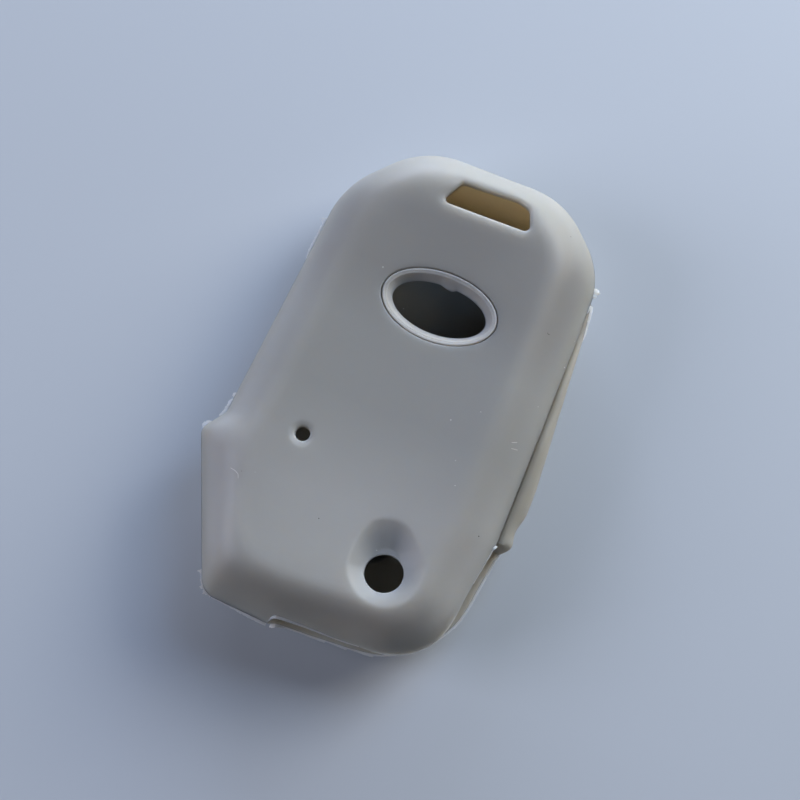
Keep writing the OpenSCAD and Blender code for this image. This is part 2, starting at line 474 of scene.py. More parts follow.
@dataclass(frozen=True)
class Opening:
    """A hole through a half of the skin.

    Attributes:
        name: What it is.
        shape: Its outline at the outer face.
        lip: Radius of its rounded lip.
        sink: How deep the skin dips towards it.
        reach: How far out that dip starts.
        taper: How much the hole widens, or narrows if negative, on its way inside.
        dip_power: How sharply that dip deepens.
        ring_shares: Distances of its first rings of points from the edge, as shares of the lip.
        ring_step: Least step between the further rings.
        ring_growth: How much that step grows with the distance.
        past: How far past the dip the rings go.
        clear: Width past the dip without plain points.
    """

    name: str
    shape: RoundedLoop | Oval
    lip: float = 0.3
    sink: float = 0.0
    reach: float = 1.0
    taper: float = 0.05
    dip_power: float = 2.2
    ring_shares: tuple[float, ...] = (0.04, 0.16, 0.36, 0.64, 1.0, 1.5)
    ring_step: float = 0.22
    ring_growth: float = 0.2
    past: float = 0.3
    clear: float = 0.55

    def rings(self) -> np.ndarray:
        """Spreads fill points along the hole's edge.

        Returns:
            The points.
        """
        steps = [self.lip * share for share in self.ring_shares]
        while steps[-1] < self.reach + self.past:
            steps.append(steps[-1] + max(self.ring_step, self.ring_growth * steps[-1]))
        return np.concatenate([self.shape.inset(-s) for s in steps])

    def zone(self) -> float:
        """Returns how far from its edge the hole has its own fill points."""
        return max(self.reach, self.ring_shares[-1] * self.lip) + self.clear

    def drop(self, distance: np.ndarray) -> np.ndarray:
        """Measures how far the skin sinks.

        Args:
            distance: Distances from the hole's edge.

        Returns:
            The sink at each distance, with the rounded lip.
        """
        near = np.clip(1.0 - distance / self.lip, 0.0, 1.0)
        lip = self.lip * (1.0 - np.sqrt(1.0 - near * near))
        return lip + self.sink * np.clip(1.0 - distance / self.reach, 0.0, 1.0) ** self.dip_power


@dataclass(frozen=True)
class Rounding:
    """The rounded side of one surface, from the moulding line to its flat middle.

    Attributes:
        start: Inset of the surface at the moulding line.
        reach: How far in the rounding goes.
        height: How far up, or down for the button side, it goes.
        crown: Rise of the middle above the rounding.
        up: 1 for the badge side and -1 for the button side.
        parting: Height of the moulding line.
        lean: Lean of the wall at the moulding line, in degrees.
    """

    start: float
    reach: float
    height: float
    crown: float
    up: int
    parting: float = 8.5
    lean: float = 25.0

    def level(self, depth: np.ndarray | float, tight: np.ndarray | float = 1.0) -> np.ndarray:
        """Returns the surface's height at a depth in from its own edge.

        Args:
            depth: The depth.
            tight: How much tighter than plain the rounding is there.

        Returns:
            The height.
        """
        low = math.sin(math.radians(self.lean))
        inward = np.clip(np.asarray(depth) * tight, 0.0, self.reach) / self.reach
        across = math.cos(math.radians(self.lean)) * (1.0 - inward)
        rise = self.height * (np.sqrt(1.0 - across * across) - low) / (1.0 - low)
        return self.parting + self.up * rise

    def depth(self, level: np.ndarray | float, tight: np.ndarray | float = 1.0) -> np.ndarray:
        """Returns the depth at which the surface has a height.

        Args:
            level: The height.
            tight: How much tighter than plain the rounding is there.

        Returns:
            The depth.
        """
        low = math.sin(math.radians(self.lean))
        sine = low + np.abs(np.asarray(level) - self.parting) / self.height * (1.0 - low)
        across = np.sqrt(np.clip(1.0 - sine * sine, 0, 1)) / math.cos(math.radians(self.lean))
        return self.reach * (1.0 - across) / tight


@dataclass
class Surface:
    """One surface of a half, as plane rings with heights.

    Attributes:
        outline: The cover's outline at the moulding line.
        rounding: The rounded side.
        tight: How much tighter than plain the rounding is, at each place round the outline.
        centre: Middle that the rings of the face shrink to.
        corner_blur: How far a ring is blurred along itself, as a share of its depth.
        least_blur: Blur below which a ring stays as it is.
        side_rings: Rings on the rounded side.
        face_rings: Rings on the face.
        face_shares: Size of the first and the last ring on the face, as shares.
        read_depths: Number of depths that points are read between.
        read_past: How far past the deepest point they go.
        above: Height from which heights are read.
    """

    outline: RoundedLoop
    rounding: Rounding
    tight: np.ndarray
    centre: tuple[float, float] = (-1.0, 0.0)
    corner_blur: float = 0.36
    least_blur: float = 0.05
    side_rings: int = 48
    face_rings: int = 40
    face_shares: tuple[float, float] = (0.97, 0.02)
    read_depths: int = 24
    read_past: float = 0.2
    above: float = 60.0

    def __post_init__(self) -> None:
        """Builds the dense rings that heights are read from."""
        parts = MeshParts()
        loops = []
        for depth in np.linspace(0.0, self.rounding.reach, self.side_rings):
            ring = self.ring(float(depth))
            loops.append(parts.add_points(np.c_[ring, self.rounding.level(depth, self.tight)]))
        last = self.ring(self.rounding.reach)
        top = float(self.rounding.level(self.rounding.reach))
        for share in np.linspace(*self.face_shares, self.face_rings):
            ring = np.array(self.centre) + share * (last - np.array(self.centre))
            height = top + self.rounding.up * self.rounding.crown * (1.0 - share * share)
            loops.append(parts.add_points(np.c_[ring, np.full(len(ring), height)]))
        parts.bridge(loops)
        parts.cap(loops[-1], (*self.centre, top + self.rounding.up * self.rounding.crown))
        self._tree = BVHTree.FromPolygons(np.concatenate(parts.points).tolist(), parts.faces)

    def ring(self, depth: float) -> np.ndarray:
        """Returns the plane ring at a depth in from the surface's own edge.

        The moulded skin's corners blend softly into its face, so a ring is blurred along itself the
        more, the deeper it lies.

        Args:
            depth: The depth.

        Returns:
            The points.
        """
        ring = self.outline.inset(self.rounding.start + depth)
        blur = self.corner_blur * depth
        if blur < self.least_blur:
            return ring
        step = np.linalg.norm(np.roll(ring, -1, axis=0) - ring, axis=1)
        at = np.concatenate([[0.0], np.cumsum(step)[:-1]])
        apart = np.abs(at[:, None] - at[None, :])
        apart = np.minimum(apart, step.sum() - apart)
        weight = np.exp(-0.5 * (apart / blur) ** 2) * (step + np.roll(step, 1))
        return (weight @ ring) / weight.sum(axis=1, keepdims=True)

    def ring_at(self, depths: np.ndarray) -> np.ndarray:
        """Reads one plane point for each place round the outline, at its own depth.

        Args:
            depths: The depth at each place.

        Returns:
            The points.
        """
        deepest = float(depths.max()) + self.read_past
        grid = np.unique(np.round(np.linspace(0.0, deepest, self.read_depths), 4))
        stack = np.array([self.ring(float(d)) for d in grid])
        k = np.clip(np.searchsorted(grid, depths) - 1, 0, len(grid) - 2)
        t = ((depths - grid[k]) / (grid[k + 1] - grid[k]))[:, None]
        place = np.arange(len(depths))
        return stack[k, place] * (1.0 - t) + stack[k + 1, place] * t

    def heights(self, points: np.ndarray) -> np.ndarray:
        """Reads the surface's height at plane points.

        Args:
            points: The plane points.

        Returns:
            The height at each.
        """
        start = self.above * self.rounding.up
        down = Vector((0.0, 0.0, -float(self.rounding.up)))
        found = []
        for x, y in points:
            hit = self._tree.ray_cast(Vector((x, y, start)), down)[0]
            found.append(self.rounding.parting if hit is None else hit[2])
        return np.array(found)


@dataclass(frozen=True)
class Slack:
    """How far the badge face of the empty cover hangs in between its stiffer shoulders and ends.

    Attributes:
        middle: Its deepest point.
        half_x: How far to each side it reaches.
        half_y: How far to each end it reaches.
        depth: How deep it is in the middle.
        soften: How softly it starts, as a share of its depth.
    """

    middle: tuple[float, float] = (-0.5, -1.0)
    half_x: float = 15.3
    half_y: float = 30.0
    depth: float = 2.0
    soften: float = 0.1

    def drop(self, flat: np.ndarray) -> np.ndarray:
        """Measures how far the face hangs down.

        Args:
            flat: Plane points.

        Returns:
            The drop at each.
        """
        share = 1.0 - ((flat - np.array(self.middle)) / np.array([self.half_x, self.half_y])) ** 2
        share = 0.5 * (share + np.sqrt(share * share + self.soften**2))
        return self.depth * share[:, 0] * share[:, 1]


Stations = tuple[tuple[float, float], ...]


@dataclass(frozen=True)
class Seam:
    """How far the two halves stand apart, by length round the outline from the blade slot's start.

    Attributes:
        start_x: Where the slot starts on the bottom edge.
        rise: How far the badge side's edge stands above the moulding line.
        drop: How far the button side's edge stands below it.
        lip: How far the button side's lip stands out along the slot.
        strip: How far the strip of skin beside the slit rolls out.
        gap: Width of the slit.
        bottom: Y below which the outline is its bottom edge.
        blur: How far round each place the curves are softened.
        start_zone: Length up to which they are softened less.
        start_blur: How far they are softened there.
        slit_at: Length where the slot ends and the slit starts.
        slit_zone: Distance from there within which they are softened less.
        slit_blur: How far they are softened there.
    """

    start_x: float = -4.3
    rise: Stations = (
        (-0.3, 0.0), (-0.12, 0.9), (0.0, 1.8), (0.3, 3.1), (0.9, 3.75), (2.3, 3.75), (4.1, 3.5),
        (6.4, 3.2), (8.4, 2.8), (10.7, 2.4), (13.9, 2.2), (16.0, 1.8), (18.5, 1.1), (21.0, 0.6),
        (25.0, 0.6), (27.5, 1.6), (29.6, 2.7), (32.3, 3.2), (36.0, 3.1), (41.3, 2.9), (42.4, 3.0),
        (43.2, 2.5), (50.0, 2.4), (60.0, 2.3), (64.7, 1.75), (69.0, 1.5), (73.8, 1.0), (79.4, 0.45),
        (83.0, 0.2), (85.0, 0.0),
    )
    drop: Stations = (
        (-0.1, 0.0), (0.2, 1.2), (0.7, 2.0), (1.5, 2.2), (42.0, 2.2), (42.7, 1.3), (43.1, 0.5),
        (43.6, 0.0),
    )
    lip: Stations = (
        (0.0, 0.05), (1.4, 0.1), (5.8, 0.3), (12.2, 0.4), (16.0, 0.25), (20.0, -0.1), (25.0, -0.25),
        (27.0, 0.0), (29.6, 0.15), (32.3, 0.4), (42.4, 0.5), (43.2, 0.0),
    )
    strip: Stations = (
        (42.5, 0.0), (42.9, 0.7), (43.3, 1.2), (44.1, 1.45), (45.3, 1.15), (46.6, 1.05), (48.5, 1.7),
        (50.4, 1.75), (52.9, 1.75), (56.0, 1.55), (59.9, 1.3), (69.5, 0.95), (79.0, 0.65),
        (84.0, 0.25), (85.4, 0.0),
    )
    gap: float = 0.2
    bottom: float = -30.0
    blur: float = 0.8
    start_zone: float = 1.6
    start_blur: float = 0.08
    slit_at: float = 43.0
    slit_zone: float = 2.5
    slit_blur: float = 0.15

    def length(self, ring: np.ndarray) -> np.ndarray:
        """Measures the length round the outline from the slot's start.

        Args:
            ring: The outline's points at the moulding line.

        Returns:
            The length at each point, negative before the slot.
        """
        steps = np.linalg.norm(np.roll(ring, -1, axis=0) - ring, axis=1)
        length = np.concatenate([[0.0], np.cumsum(steps)[:-1]])
        low = np.where(ring[:, 1] < self.bottom, np.abs(ring[:, 0] - self.start_x), np.inf)
        return length - length[low.argmin()]

    def read(self, stations: Stations, length: np.ndarray) -> np.ndarray:
        """Reads a softened curve through stations, which is zero before the first and after the last.

        Args:
            stations: Lengths round the outline, with the curve's value there.
            length: Where the curve is read.

        Returns:
            The value at each length.
        """
        at, value = np.array(stations).T
        near_slit = np.abs(length - self.slit_at) < self.slit_zone
        blur = np.where(near_slit, self.slit_blur, self.blur)
        blur = np.where(length < self.start_zone, self.start_blur, blur)
        shares = (-1.0, -0.5, 0.0, 0.5, 1.0)
        read = [np.interp(length + s * blur, at, value, left=0.0, right=0.0) for s in shares]
        return sum(read) / len(shares)


@dataclass
class SkinHalf(ABC):
    """One half of the cover, as a closed skin with an outer and an inner surface.

    Attributes:
        outline: The cover's outline at the moulding line.
        outer: Rounding of the outer surface.
        inner: Rounding of the inner surface.
        openings: The holes through it.
        seam: How far the halves stand apart.
        levels: Depths of the outer surface's rings.
        inner_levels: Depths of the inner surface's rings.
        flat_step: Distance between points on the outer face.
        inner_step: Distance between points on the inner face.
        edge_clear: Least depth between an edge and its first ring.
        last_clear_share: Distance from the last ring to the face's points, as a share of their step.
        inner_zone: Width round a hole without plain points inside.
        inner_rings: Insets of the inner surface's own rings round a hole.
        base: The outline's points.
        normal: The way out at each of them.
        length: Their lengths round the outline from the slot's start.
        edge: The outer edge, once it is built.
    """

    outline: RoundedLoop
    outer: Rounding
    inner: Rounding
    openings: tuple[Opening, ...]
    seam: Seam = field(default_factory=Seam)
    levels: tuple[float, ...] = (
        0.1, 0.24, 0.42, 0.64, 0.9, 1.2, 1.55, 1.95, 2.4, 2.9, 3.45, 4.05, 4.7, 5.4, 6.1, 6.8, 7.6, 8.4,
    )
    inner_levels: tuple[float, ...] = (0.4, 0.9, 1.6, 2.5, 3.6, 4.8, 6.2, 7.6)
    flat_step: float = 0.95
    inner_step: float = 2.2
    edge_clear: float = 0.09
    last_clear_share: float = 0.35
    inner_zone: float = 1.3
    inner_rings: tuple[float, ...] = (0.3, 0.8)
    base: np.ndarray = field(init=False)
    normal: np.ndarray = field(init=False)
    length: np.ndarray = field(init=False)
    edge: np.ndarray = field(init=False)

    def __post_init__(self) -> None:
        """Measures the outline at the moulding line."""
        self.base = self.outline.inset(0.0)
        ahead = np.roll(self.base, -1, axis=0) - np.roll(self.base, 1, axis=0)
        normal = np.stack([ahead[:, 1], -ahead[:, 0]], axis=1)
        self.normal = normal / np.linalg.norm(normal, axis=1)[:, None]
        self.length = self.seam.length(self.base)

    @abstractmethod
    def edge_levels(self) -> tuple[np.ndarray, np.ndarray]:
        """Returns the heights of the outer and the inner edge, all along the moulding line."""

    @abstractmethod
    def shape_outer(self, flat: np.ndarray, z: np.ndarray) -> np.ndarray:
        """Returns the outer surface's heights after its dips and lips."""

    def shape_inner(self, flat: np.ndarray, z: np.ndarray) -> np.ndarray:
        """Returns the inner surface's heights after its bulges."""
        return z

    @abstractmethod
    def extra_points(self) -> np.ndarray:
        """Returns further fill points for the outer surface."""

    @abstractmethod
    def crowded(self, flat: np.ndarray) -> np.ndarray:
        """Says which plain fill points stand where a feature has its own."""

    @abstractmethod
    def rim(self, outer: np.ndarray, inner: np.ndarray) -> list[np.ndarray]:
        """Returns the loops between the outer and the inner edge."""

    def slack(self, flat: np.ndarray) -> np.ndarray:
        """Returns how far both surfaces hang down at plane points."""
        return np.zeros(len(flat))

    def tightness(self) -> np.ndarray:
        """Returns how much tighter than plain the rounding is, all along the outline."""
        return np.ones(len(self.base))

    def push(self, place: np.ndarray, z: np.ndarray) -> np.ndarray:
        """Returns how far the outer surface stands out at places round the outline, at given heights."""
        return np.zeros(len(z))

    def build(self, name: str, finish: Material) -> Object:
        """Builds the half.

        Args:
            name: The piece's name.
            finish: Its material.

        Returns:
            The object.
        """
        parts = MeshParts()
        out_level, in_level = self.edge_levels()
        outer = self._surface(parts, self.outer, out_level, False)
        inner = self._surface(parts, self.inner, in_level, True)
        points = np.concatenate(parts.points)
        self.edge = points[outer[0]]
        rims = [parts.add_points(loop) for loop in self.rim(points[outer[0]], points[inner[0]])]
        parts.bridge([outer[0], *rims, inner[0]])
        for a, b in zip(outer[1:], inner[1:]):
            middle = parts.add_points(0.5 * points[a] + 0.5 * points[b])
            parts.bridge([a, middle, b])
        return parts.to_object(name, finish)

    def _surface(
        self, parts: MeshParts, rounding: Rounding, edge: np.ndarray, inside: bool
    ) -> list[np.ndarray]:
        """Adds one surface of the half.

        Args:
            parts: The mesh to add to.
            rounding: The surface's rounding.
            edge: Height of its edge at each place round the outline.
            inside: Whether it is the inner surface.

        Returns:
            The point numbers of its edge and of its holes.
        """
        tight = self.tightness()
        surface = Surface(self.outline, rounding, tight)
        depths = rounding.depth(edge, tight)
        rim = surface.ring_at(depths)
        loops = [rim] + [o.shape.inset(-o.taper if inside else 0.0) for o in self.openings]
        kept: list[np.ndarray] = []
        heights: list[np.ndarray] = []
        places: list[np.ndarray] = []
        for level in self.inner_levels if inside else self.levels:
            if level >= rounding.reach:
                continue
            use = depths + self.edge_clear < level
            kept.append(surface.ring(level)[use])
            heights.append(rounding.level(level, tight[use]))
            places.append(np.flatnonzero(use))
        clear = ~self._near_hole(np.concatenate(kept), inside)
        ringed, ring_z, place = (np.concatenate(rows)[clear] for rows in (kept, heights, places))
        fill = np.concatenate([ringed, self._free_points(surface, inside)])
        flat, faces, numbers, filled = fill_plan(loops, fill)
        z = surface.heights(flat)
        # The edge and the rings have exact heights, and outside they follow the pushes.
        z[numbers[0]] = rounding.level(depths, tight)
        z[filled[: len(place)]] = ring_z
        z -= self.slack(flat)
        points = np.c_[flat, self.shape_inner(flat, z) if inside else self.shape_outer(flat, z)]
        if not inside:
            points[numbers[0], 2] = rounding.level(depths, tight)
            at = np.concatenate([np.arange(len(rim)), place])
            which = np.concatenate([numbers[0], filled[: len(place)]])
            points[which, :2] += self.normal[at] * self.push(at, points[which, 2])[:, None]
        added = parts.add_surface(points, faces)
        return [added[n] for n in numbers]

    def _free_points(self, surface: Surface, inside: bool) -> np.ndarray:
        """Spreads the fill points that don't follow the outline.

        Args:
            surface: The plain surface.
            inside: Whether it is the inner surface.

        Returns:
            The points.
        """
        last = surface.ring(surface.rounding.reach)
        step = self.inner_step if inside else self.flat_step
        grid = hex_points(last.min(axis=0), last.max(axis=0), step)
        grid = grid[edge_distance(grid, last) < -self.last_clear_share * step]
        grid = grid[~self._near_hole(grid, inside)]
        if inside:
            rings = [o.shape.inset(-o.taper - s) for o in self.openings for s in self.inner_rings]
            return np.concatenate([grid, *rings])
        return np.concatenate([grid, *(o.rings() for o in self.openings), self.extra_points()])

    def _near_hole(self, flat: np.ndarray, inside: bool) -> np.ndarray:
        """Says which points stand in the zone of a hole or a feature.

        Args:
            flat: Plane points.
            inside: Whether they belong to the inner surface.

        Returns:
            Whether each point does.
        """
        near = np.zeros(len(flat), dtype=bool) if inside else self.crowded(flat)
        for opening in self.openings:
            distance = edge_distance(flat, opening.shape.inset(0.0))
            near |= distance < (self.inner_zone if inside else opening.zone())
        return near


@dataclass
class BadgeSkin(SkinHalf):
    """The badge side: crowned, with four openings and the egg-shaped dish.

    Attributes:
        dish: Edge of the dish.
        dish_depth: Depth of its floor.
        dish_wall: Depth from which the inner surface bulges under it.
        dish_run: Width of its slope, as a share of the way from its edge to its middle.
        dish_soft: How softly the slope starts, as a share.
        floor_from: Where the floor starts on that way, in slope widths.
        floor_rise: How much higher than its middle it starts, as a share of the depth.
        floor_fade: How quickly that fades.
        dish_reach: Half the size of the square that its points are laid in.
        dish_step: Distance between the points over it.
        dish_zone_shares: Sizes of the zones with fine points and without plain ones, as shares.
        hang: How the empty cover's face hangs.
        end_tight: How much tighter the rounding gets at the lower end.
        end_from: Where along Y that starts.
        end_run: Over what length it grows.
        bulge: How far the free edge bulges down.
        bulge_shares: Places of the loops across the edge, as shares.
    """

    dish: Egg = Egg((8.85, -26.2), 5.5, 6.95, 6.0, 20.0)
    dish_depth: float = 1.85
    dish_wall: float = 0.75
    hang: Slack = Slack()
    end_tight: float = 0.2
    end_from: float = -24.0
    end_run: float = 10.0
    dish_run: float = 0.62
    dish_soft: float = 0.035
    floor_from: float = 0.6
    floor_rise: float = 0.1
    floor_fade: float = 4.0
    dish_reach: float = 10.0
    dish_step: float = 0.33
    dish_zone_shares: tuple[float, float] = (1.14, 1.17)
    bulge: float = 0.22
    bulge_shares: tuple[float, ...] = (0.06, 0.16, 0.32, 0.5, 0.68, 0.84)

    def slack(self, flat: np.ndarray) -> np.ndarray:
        """Returns how far the face hangs down at plane points."""
        return self.hang.drop(flat)

    def tightness(self) -> np.ndarray:
        """Returns how tight the rounding is: more so at the release button's end."""
        return 1.0 + self.end_tight * smooth((self.end_from - self.base[:, 1]) / self.end_run)

    def edge_levels(self) -> tuple[np.ndarray, np.ndarray]:
        """Returns the heights of the badge side's outer and inner edge."""
        level = self.outer.parting + self.seam.read(self.seam.rise, self.length)
        return level, level

    def shape_outer(self, flat: np.ndarray, z: np.ndarray) -> np.ndarray:
        """Sinks the dish and the skin round each opening.

        Args:
            flat: Plane points.
            z: The surface's heights there.

        Returns:
            The new heights.
        """
        z = z - self._dip(flat)
        for opening in self.openings:
            distance = np.maximum(edge_distance(flat, opening.shape.inset(0.0)), 0.0)
            z -= opening.drop(distance)
        return z

    def shape_inner(self, flat: np.ndarray, z: np.ndarray) -> np.ndarray:
        """Lets the inner surface bulge under the dish, where the skin would get too thin."""
        return z - np.clip(self._dip(flat) - self.dish_wall, 0.0, None)

    def _dip(self, flat: np.ndarray) -> np.ndarray:
        """Measures the dish: a straight slope from its edge down to its floor, softened at both ends.

        Args:
            flat: Plane points.

        Returns:
            The depth at each point.
        """
        into = (1.0 - self.dish.share(flat)) / self.dish_run
        soft = self.dish_soft
        ramp = np.where(into < soft, np.clip(into + soft, 0.0, None) ** 2 / (4.0 * soft), into)
        past = np.clip(into - self.floor_from, 0.0, None)
        floor = 1.0 - self.floor_rise * np.exp(-self.floor_fade * past)
        return self.dish_depth * np.minimum(ramp, floor)

    def extra_points(self) -> np.ndarray:
        """Spreads fine fill points over the dish.

        Returns:
            The points.
        """
        centre = np.array(self.dish.centre)
        grid = hex_points(centre - self.dish_reach, centre + self.dish_reach, self.dish_step)
        grid = grid[self.dish.share(grid) < self.dish_zone_shares[0]]
        hole = next(opening for opening in self.openings if opening.name == "release")
        return grid[edge_distance(grid, hole.shape.inset(0.0)) > hole.zone() - hole.past]

    def crowded(self, flat: np.ndarray) -> np.ndarray:
        """Says which points stand in the dish."""
        return self.dish.share(flat) < self.dish_zone_shares[1]

    def rim(self, outer: np.ndarray, inner: np.ndarray) -> list[np.ndarray]:
        """Rounds the edge, and lets it bulge down where it is free.

        Args:
            outer: The outer edge.
            inner: The inner edge.

        Returns:
            The loops from the outer to the inner edge.
        """
        free = np.clip(self.seam.read(self.seam.rise, self.length), 0.0, 1.0)
        loops = []
        for share in self.bulge_shares:
            loop = outer + (inner - outer) * share
            loop[:, 2] -= self.bulge * free * math.sqrt(math.sin(math.pi * share))
            loops.append(loop)
        return loops


@dataclass
class ButtonSkin(SkinHalf):
    """The button side: flat, with a sunk field, three pad openings and the rolled strip.

    Attributes:
        sunk: Outline of the field.
        badge: Rounding of the badge side, which the rolled strip lies against.
        sunk_depth: Depth of the field.
        sunk_edge: Width of its sloping edge.
        sunk_rings: Insets of the rings of points on that edge.
        sunk_zone: Distance from that edge without plain points.
        strip_dip: How far the outer edge dips per millimetre that the strip stands out.
        lip_run: Heights between which the slot's lip comes out.
        strip_run: Heights between which the strip comes out.
        lip_rise: Height of the slot's rounded lip.
        roll_from: Length round the outline where the roll starts.
        roll_run: Length over which it grows.
        roll_top: How far the rolled strip's top stands off the badge side.
        roll_least: Height from which the strip rolls at all.
        roll_shares: The roll's section.
    """

    sunk: RoundedLoop = field(kw_only=True)
    badge: Rounding = field(kw_only=True)
    sunk_depth: float = 0.5
    sunk_edge: float = 0.7
    sunk_rings: tuple[float, ...] = (-0.6, -0.3, 0.0, 0.3, 0.6)
    sunk_zone: float = 1.0
    strip_dip: float = 0.3
    lip_run: tuple[float, float] = (2.5, 6.0)
    strip_run: tuple[float, float] = (2.0, 7.6)
    lip_rise: float = 0.2
    roll_from: float = 42.6
    roll_run: float = 0.7
    roll_top: float = 0.35
    roll_least: float = 0.02
    # Each row is a place across the edge, then shares of the strip's reach and of its top, a further
    # offset, and a share of its height.
    roll_shares: tuple[tuple[float, ...], ...] = (
        (0.04, 1.0, 0.0, 0.0, 0.14), (0.1, 1.0, 0.0, 0.0, 0.32), (0.18, 0.95, 0.05, 0.0, 0.52),
        (0.27, 0.82, 0.18, 0.0, 0.72), (0.37, 0.62, 0.38, 0.0, 0.88), (0.48, 0.38, 0.62, 0.0, 0.97),
        (0.6, 0.14, 0.86, 0.0, 1.0), (0.71, 0.0, 1.0, -0.12, 0.94), (0.82, 0.0, 0.9, -0.3, 0.7),
        (0.92, 0.0, 0.6, -0.75, 0.35),
    )

    def edge_levels(self) -> tuple[np.ndarray, np.ndarray]:
        """Returns the heights of the button side's outer and inner edge."""
        level = self.outer.parting - self.seam.read(self.seam.drop, self.length)
        return level - self.strip_dip * self.seam.read(self.seam.strip, self.length), level

    def shape_outer(self, flat: np.ndarray, z: np.ndarray) -> np.ndarray:
        """Sinks the field and rounds each opening's lip.

        Args:
            flat: Plane points.
            z: The surface's heights there.

        Returns:
            The new heights.
        """
        into = edge_distance(flat, self.sunk.inset(0.0)) / self.sunk_edge
        z = z + self.sunk_depth * (1.0 - smooth(into + 0.5))
        for opening in self.openings:
            distance = np.maximum(edge_distance(flat, opening.shape.inset(0.0)), 0.0)
            z += opening.drop(distance)
        return z

    def extra_points(self) -> np.ndarray:
        """Returns fill points along the field's edge."""
        return np.concatenate([self.sunk.inset(depth) for depth in self.sunk_rings])

    def crowded(self, flat: np.ndarray) -> np.ndarray:
        """Says which points stand on the field's edge."""
        return np.abs(edge_distance(flat, self.sunk.inset(0.0))) < self.sunk_zone

    def push(self, place: np.ndarray, z: np.ndarray) -> np.ndarray:
        """Measures how far the strip and the slot's lip stand out.

        Args:
            place: Places round the outline.
            z: Heights there.

        Returns:
            The push at each.
        """
        lip = self.seam.read(self.seam.lip, self.length)[place]
        strip = self.seam.read(self.seam.strip, self.length)[place]
        (lip_low, lip_high), (low, high) = self.lip_run, self.strip_run
        lip = lip * smooth((z - lip_low) / (lip_high - lip_low))
        return lip + strip * smooth((z - low) / (high - low))

    def rim(self, outer: np.ndarray, inner: np.ndarray) -> list[np.ndarray]:
        """Returns the loops over the edge: a rounded lip, and a roll where the strip stands out.

        Args:
            outer: The outer edge.
            inner: The inner edge.

        Returns:
            The loops from the outer to the inner edge.
        """
        slot = np.clip(self.seam.read(self.seam.drop, self.length), 0.0, 1.0)
        out = self.seam.read(self.seam.strip, self.length)
        rolled = smooth((self.length - self.roll_from) / self.roll_run) * (out > 0.0)
        above = self.seam.read(self.seam.rise, self.length)
        height = np.clip(above - self.seam.gap, 0.0, None)
        top = self.roll_top * np.minimum(1.0, height) - self.seam.gap
        top -= self.badge.depth(self.badge.parting + height)
        loops = []
        for place, reach, crest, more, share in self.roll_shares:
            lip = outer + (inner - outer) * place
            lip[:, 2] += self.lip_rise * slot * math.sqrt(math.sin(math.pi * place))
            offset = reach * out + crest * top + more * np.clip(height, 0.0, 1.0)
            offset = np.where(height > self.roll_least, offset, -self.inner.start * place)
            roll = np.c_[self.base + self.normal * offset[:, None], self.outer.parting + share * height]
            loops.append(lip + (roll - lip) * rolled[:, None])
        return loops


# Finishes


def add_node(
    tree: NodeTree,
    kind: str,
    settings: dict[str, Any] | None = None,
    links: dict[str, NodeSocket] | None = None,
) -> Node:
    """Adds a shader node.

    Args:
        tree: The node tree.
        kind: Blender's name for the node.
        settings: Attributes of the node, or inputs where it has no such attribute.
        links: Sockets to link to its inputs, by input name or number as text.

    Returns:
        The node.
    """
    node = tree.nodes.new(kind)
    for key, value in (settings or {}).items():
        if hasattr(node, key):
            setattr(node, key, value)
        else:
            node.inputs[int(key) if key.isdigit() else key].default_value = value
    for key, source in (links or {}).items():
        tree.links.new(source, node.inputs[int(key) if key.isdigit() else key])
    return node


def start_material(name: str, roughness: float) -> tuple[Material, Node, NodeSocket]:
    """Starts a material.

    Args:
        name: Its name.
        roughness: Its roughness.

    Returns:
        The material, its shader, and the place on the piece as a socket.
    """
    material = bpy.data.materials.new(name)
    material.use_nodes = True
    shader = material.node_tree.nodes["Principled BSDF"]
    shader.inputs["Roughness"].default_value = roughness
    return material, shader, add_node(material.node_tree, "ShaderNodeTexCoord").outputs["Object"]


